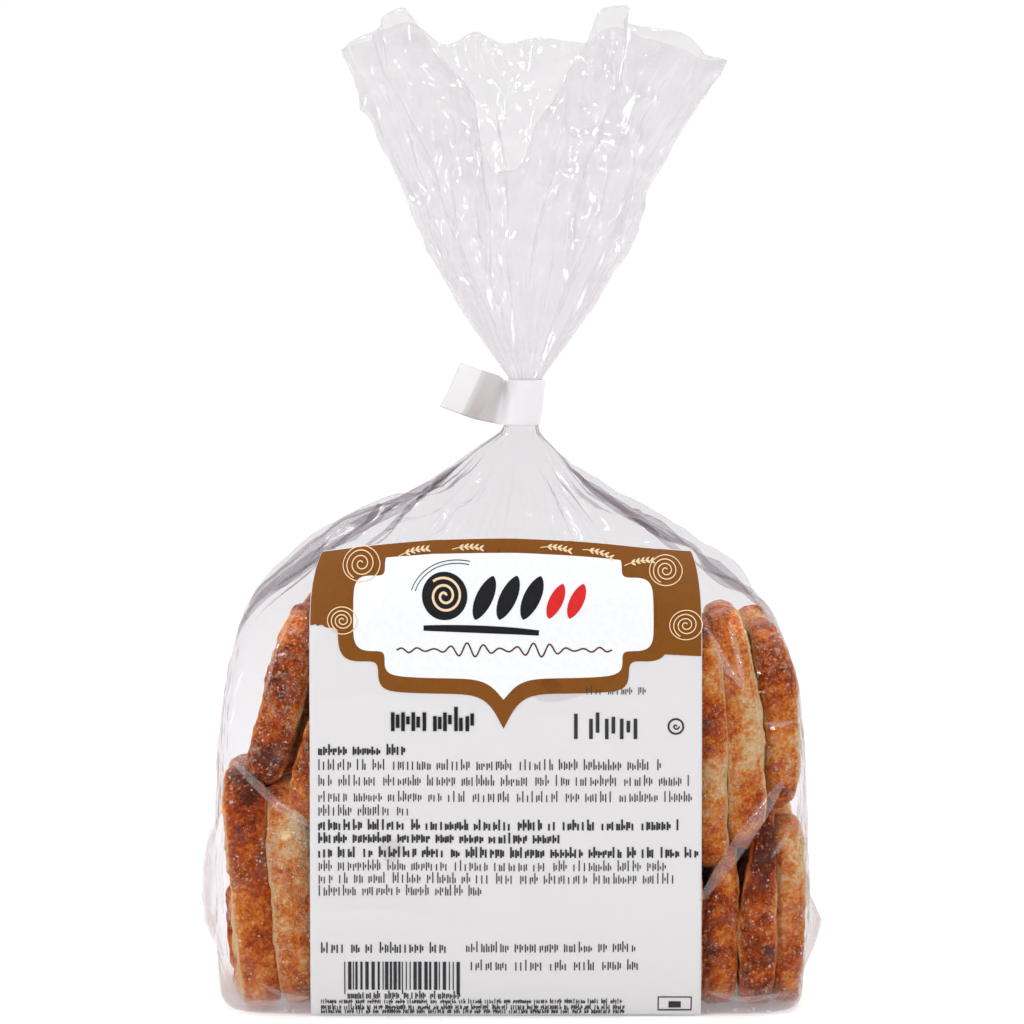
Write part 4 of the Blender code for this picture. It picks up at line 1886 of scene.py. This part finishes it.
    def text(self) -> None:
        """Rows of ticks, bars and a small box where a label carries its particulars."""
        grey = InkLayer("label_text", PrintInk("TextInk", (0.035, 0.034, 0.038)), 0.20 * MM)
        rows = (
            (70.2, -50.2, -27.5, 0.50), (66.3, -50.2, 38.0, 0.32), (62.2, -50.2, 46.5, 0.30),
            (58.0, -50.2, 47.0, 0.30), (54.4, -50.2, -26.5, 0.30), (50.6, -50.2, 43.5, 0.50),
            (47.2, -50.2, 13.0, 0.50), (43.4, -50.2, 48.0, 0.50), (39.9, -50.2, 40.5, 0.30),
            (36.6, -50.2, 43.8, 0.30), (33.4, -50.2, -8.5, 0.30), (18.3, -49.6, -16.5, 0.38),
            (18.6, -11.8, 32.0, 0.32), (13.8, -10.6, 33.5, 0.32))
        for seed, (y, start, end, weight) in enumerate(rows, 40):
            grey.words(start, end, y, 2.2, weight, seed)
        grey.words(19.5, 35.0, 85.8, 1.9, 0.26, 60)
        grey.words(16.6, 36.6, 76.6, 6.6, 0.95, 61)
        for seed, y in enumerate((4.3, 2.9, 1.9), 70):
            grey.words(-49.8, 29.5, y, 1.05, 0.24, seed)
        grey.stroke(spiral(42.6, 76.6, 1.9, 1.95, 1.0), 0.5)
        grey.stroke(spiral(42.6, 76.6, 0.1, 0.9, 1.0), 0.4)
        self.bars(grey)
        grey.lay(self.surface)

    @staticmethod
    def bars(ink: InkLayer) -> None:
        """Upright bars of varied widths that spell no number, and an outlined box.

        Args:
            ink: The print that they are part of.
        """
        draws = np.random.default_rng(9)
        x, end = -43.8, -13.4
        while x < end:
            width = draws.choice((0.3, 0.3, 0.6, 0.9))
            longer = 0.6 if x < -43.0 or x > end - 1.2 or abs(x + 28.6) < 0.7 else 0.0
            ink.box(x + 0.5 * width, 11.2 - longer, width, 7.4 + 2.0 * longer)
            x += width + draws.choice((0.35, 0.35, 0.7))
        ink.words(-42.8, -14.0, 5.9, 1.7, 0.34, draws)
        for side in (-1.0, 1.0):
            ink.box(42.5 + side * 4.3, 1.9 + 2.0, 0.3, 3.4)
            ink.box(42.5, 3.9 + side * 1.6, 8.6, 0.3)
        ink.box(42.5, 3.6, 3.2, 1.5)


@dataclass
class NeckTape:
    """White tape wound once round the neck, its two ends stuck together as a folded flag."""

    shape: BagShape
    width: float = 12 * MM
    inner: float = 5.15 * MM
    wall: float = 0.22 * MM
    fold: tuple[float, float] = (-13.0 * MM, -6.2 * MM)
    tip: tuple[float, float] = (-20.0 * MM, -4.8 * MM)
    rise: float = 0.34
    slope: float = 0.42
    nod: float = 0.45
    # where along the tape the flag's inner leg lies, painted in shade
    sticky: tuple[float, float] = (0.755, 0.905)
    noise: Noise = field(default_factory=lambda: Noise(31))

    def outline(self) -> Array:
        """The tape's path in plan, from one end of the flag round the neck to the other.

        Returns:
            Points of x and y.
        """
        turn = np.linspace(pi - 0.12, -pi + 0.12, 60)
        ring = self.inner * joined(np.cos(turn), np.sin(turn))
        fold, tip = np.array(self.fold), np.array(self.tip)
        gap = np.array((0.16 * MM, -0.16 * MM))
        upper = np.array([tip - gap, 0.5 * (tip + fold) - gap, fold - gap * 1.6, ring[0] * 1.35])
        lower = np.array([ring[-1] * 1.35 + gap, fold + gap, 0.5 * (tip + fold) + gap, tip + gap])
        return softened(evenly(np.concatenate([upper, ring, lower]), 400), 4)

    def build(self) -> None:
        """Make the tape."""
        line = self.outline()
        index = np.linspace(0.0, 1.0, len(line))
        middle = 0.5 * (self.shape.neck_bottom + self.shape.neck_top)
        kept = {}

        def place(u: Array, v: Array) -> Array:
            """Along the tape with u, across its width with v.

            Args:
                u: Across the sheet, from 0 to 1.
                v: Up the sheet, from 0 to 1.

            Returns:
                The points.
            """
            kept["along"] = u
            x, y = between(u, index, line).T
            run = np.clip(-x - self.inner - 0.5 * MM, 0.0, None)
            own = joined(x, y, v * self.width)
            wave = 0.25 * MM * self.noise.layered(own, 6 * MM, 2)
            z = middle + (v - 0.5) * self.width + self.rise * run
            free = (v - 0.5) * self.width * np.clip(run / (4 * MM), 0.0, 1.0)
            x = x + self.shape.centre(z) + wave + self.slope * free
            return joined(x, y + wave * np.sign(y) - self.nod * free, z)

        mesh = sheet("neck_tape_strip", 260, 22, place, False)
        # the flag's inner leg, from the neck to its fold: painted shade and the duller sticky side
        start, end = self.sticky
        add_values(mesh, "sticky", ramp(start, start + 0.02, kept["along"])
                   * (1.0 - ramp(end, end + 0.01, kept["along"])))
        add_piece(mesh, WhiteTape(), StandsFor.TAPE, self.wall)


# --- Studio ---

@dataclass
class Softbox:
    """One rectangular area light aimed at the bag."""

    name: str
    place: Triple
    width: float
    height: float
    power: float
    glints_only: bool = False


@dataclass
class Studio:
    """Pale floor, soft light and the camera."""

    target: Triple = (0.0, 0.0, 0.1300)
    distance: float = 1.030
    elevation: float = 4.0
    lens: float = 135.0
    sensor: float = 36.0
    nearest: float = 0.05
    floor_radius: float = 6.0
    back_light: float = 1.02
    front_light: float = 0.20
    sky_light: float = 0.7
    softboxes: tuple[Softbox, ...] = (
        Softbox("key_softbox", (-0.75, -1.05, 0.95), 0.26, 0.26, 4.9),
        Softbox("fill_softbox", (0.85, -1.05, 0.75), 0.26, 0.26, 2.2),
        Softbox("left_strip", (-1.1, -0.35, 0.45), 0.12, 0.8, 2.2),
        Softbox("right_strip", (1.1, -0.45, 0.5), 0.12, 0.8, 1.75),
        Softbox("top_softbox", (0.1, 0.1, 1.2), 0.4, 0.3, 2.5),
        Softbox("left_glint", (-0.55, -0.95, 0.62), 0.10, 0.14, 12.0, True),
        Softbox("right_glint", (0.62, -0.90, 0.40), 0.10, 0.14, 12.0, True),
        Softbox("high_glint", (0.12, -0.85, 1.05), 0.16, 0.10, 12.0, True),
        Softbox("side_glint", (-0.95, -0.20, 0.30), 0.08, 0.30, 12.0, True),
    )

    def build(self) -> None:
        """Make the floor, the lights, the world and the camera."""
        self.floor()
        self.world()
        for softbox in self.softboxes:
            self.light(softbox)
        self.camera()
        scene = bpy.context.scene
        scene.view_settings.view_transform = "Standard"
        scene.cycles.transparent_max_bounces = 64
        scene.cycles.max_bounces = 10

    def floor(self) -> None:
        """A wide round floor, as part of the studio."""
        disc = bmesh.new()
        bmesh.ops.create_circle(disc, cap_ends=True, segments=96, radius=self.floor_radius)
        mesh = finished(disc, "floor")
        mesh.materials.append(StudioFloor().material())
        floor = add_object("floor", mesh)

    def world(self) -> None:
        """White behind and above, dimmer in front, so the film stays clear."""
        world = bpy.data.worlds.new("studio")
        bpy.context.scene.world = world
        world.use_nodes = True
        nodes, links = world.node_tree.nodes, world.node_tree.links
        split = nodes.new("ShaderNodeSeparateXYZ")
        links.new(nodes.new("ShaderNodeTexCoord").outputs["Generated"], split.inputs[0])
        back, above, total = (nodes.new(f"ShaderNode{kind}")
                              for kind in ("MapRange", "MapRange", "Math"))
        for node, axis, values in ((back, "Y", (-0.25, 0.45, self.front_light, self.back_light)),
                                   (above, "Z", (0.35, 0.9, 0.0, self.sky_light))):
            links.new(split.outputs[axis], node.inputs[0])
            for socket, value in zip(node.inputs[1:5], values):
                socket.default_value = value
            links.new(node.outputs[0], total.inputs[0 if axis == "Y" else 1])
        links.new(total.outputs[0], nodes["Background"].inputs["Strength"])
        nodes["Background"].inputs["Color"].default_value = (1.0, 1.0, 1.0, 1.0)

    def light(self, softbox: Softbox) -> None:
        """Aim one softbox at the bag.

        Args:
            softbox: The softbox.
        """
        data = bpy.data.lights.new(softbox.name, "AREA")
        data.shape = "RECTANGLE"
        data.size, data.size_y = softbox.width, softbox.height
        data.energy = softbox.power
        lamp = add_object(softbox.name, data)
        lamp.location = softbox.place
        aim = Vector(self.target) - Vector(softbox.place)
        lamp.rotation_euler = aim.to_track_quat("-Z", "Y").to_euler()
        if softbox.glints_only:
            lamp.visible_diffuse = False
            lamp.light_linking.receiver_collection = film_only()

    def camera(self) -> None:
        """A long lens a little above the bag's middle, looking slightly down."""
        data = bpy.data.cameras.new("camera")
        data.lens = self.lens
        data.sensor_width = self.sensor
        data.clip_start = self.nearest
        camera = add_object("camera", data)
        rise = radians(self.elevation)
        away = Vector((0.0, -cos(rise), sin(rise))) * self.distance
        camera.location = Vector(self.target) + away
        camera.rotation_euler = (-away).to_track_quat("-Z", "Y").to_euler()
        bpy.context.scene.camera = camera


def main() -> None:
    """Build the bag piece by piece."""
    logging.basicConfig(level=logging.INFO, format="%(name)s %(message)s")
    shape = BagShape()
    Studio().build()
    PalmierPile(shape).build()
    FilmBag(shape).build()
    FilmFolds(shape).build()
    PaperLabel(shape).build()
    NeckTape(shape).build()


if __name__ == "__main__":
    main()
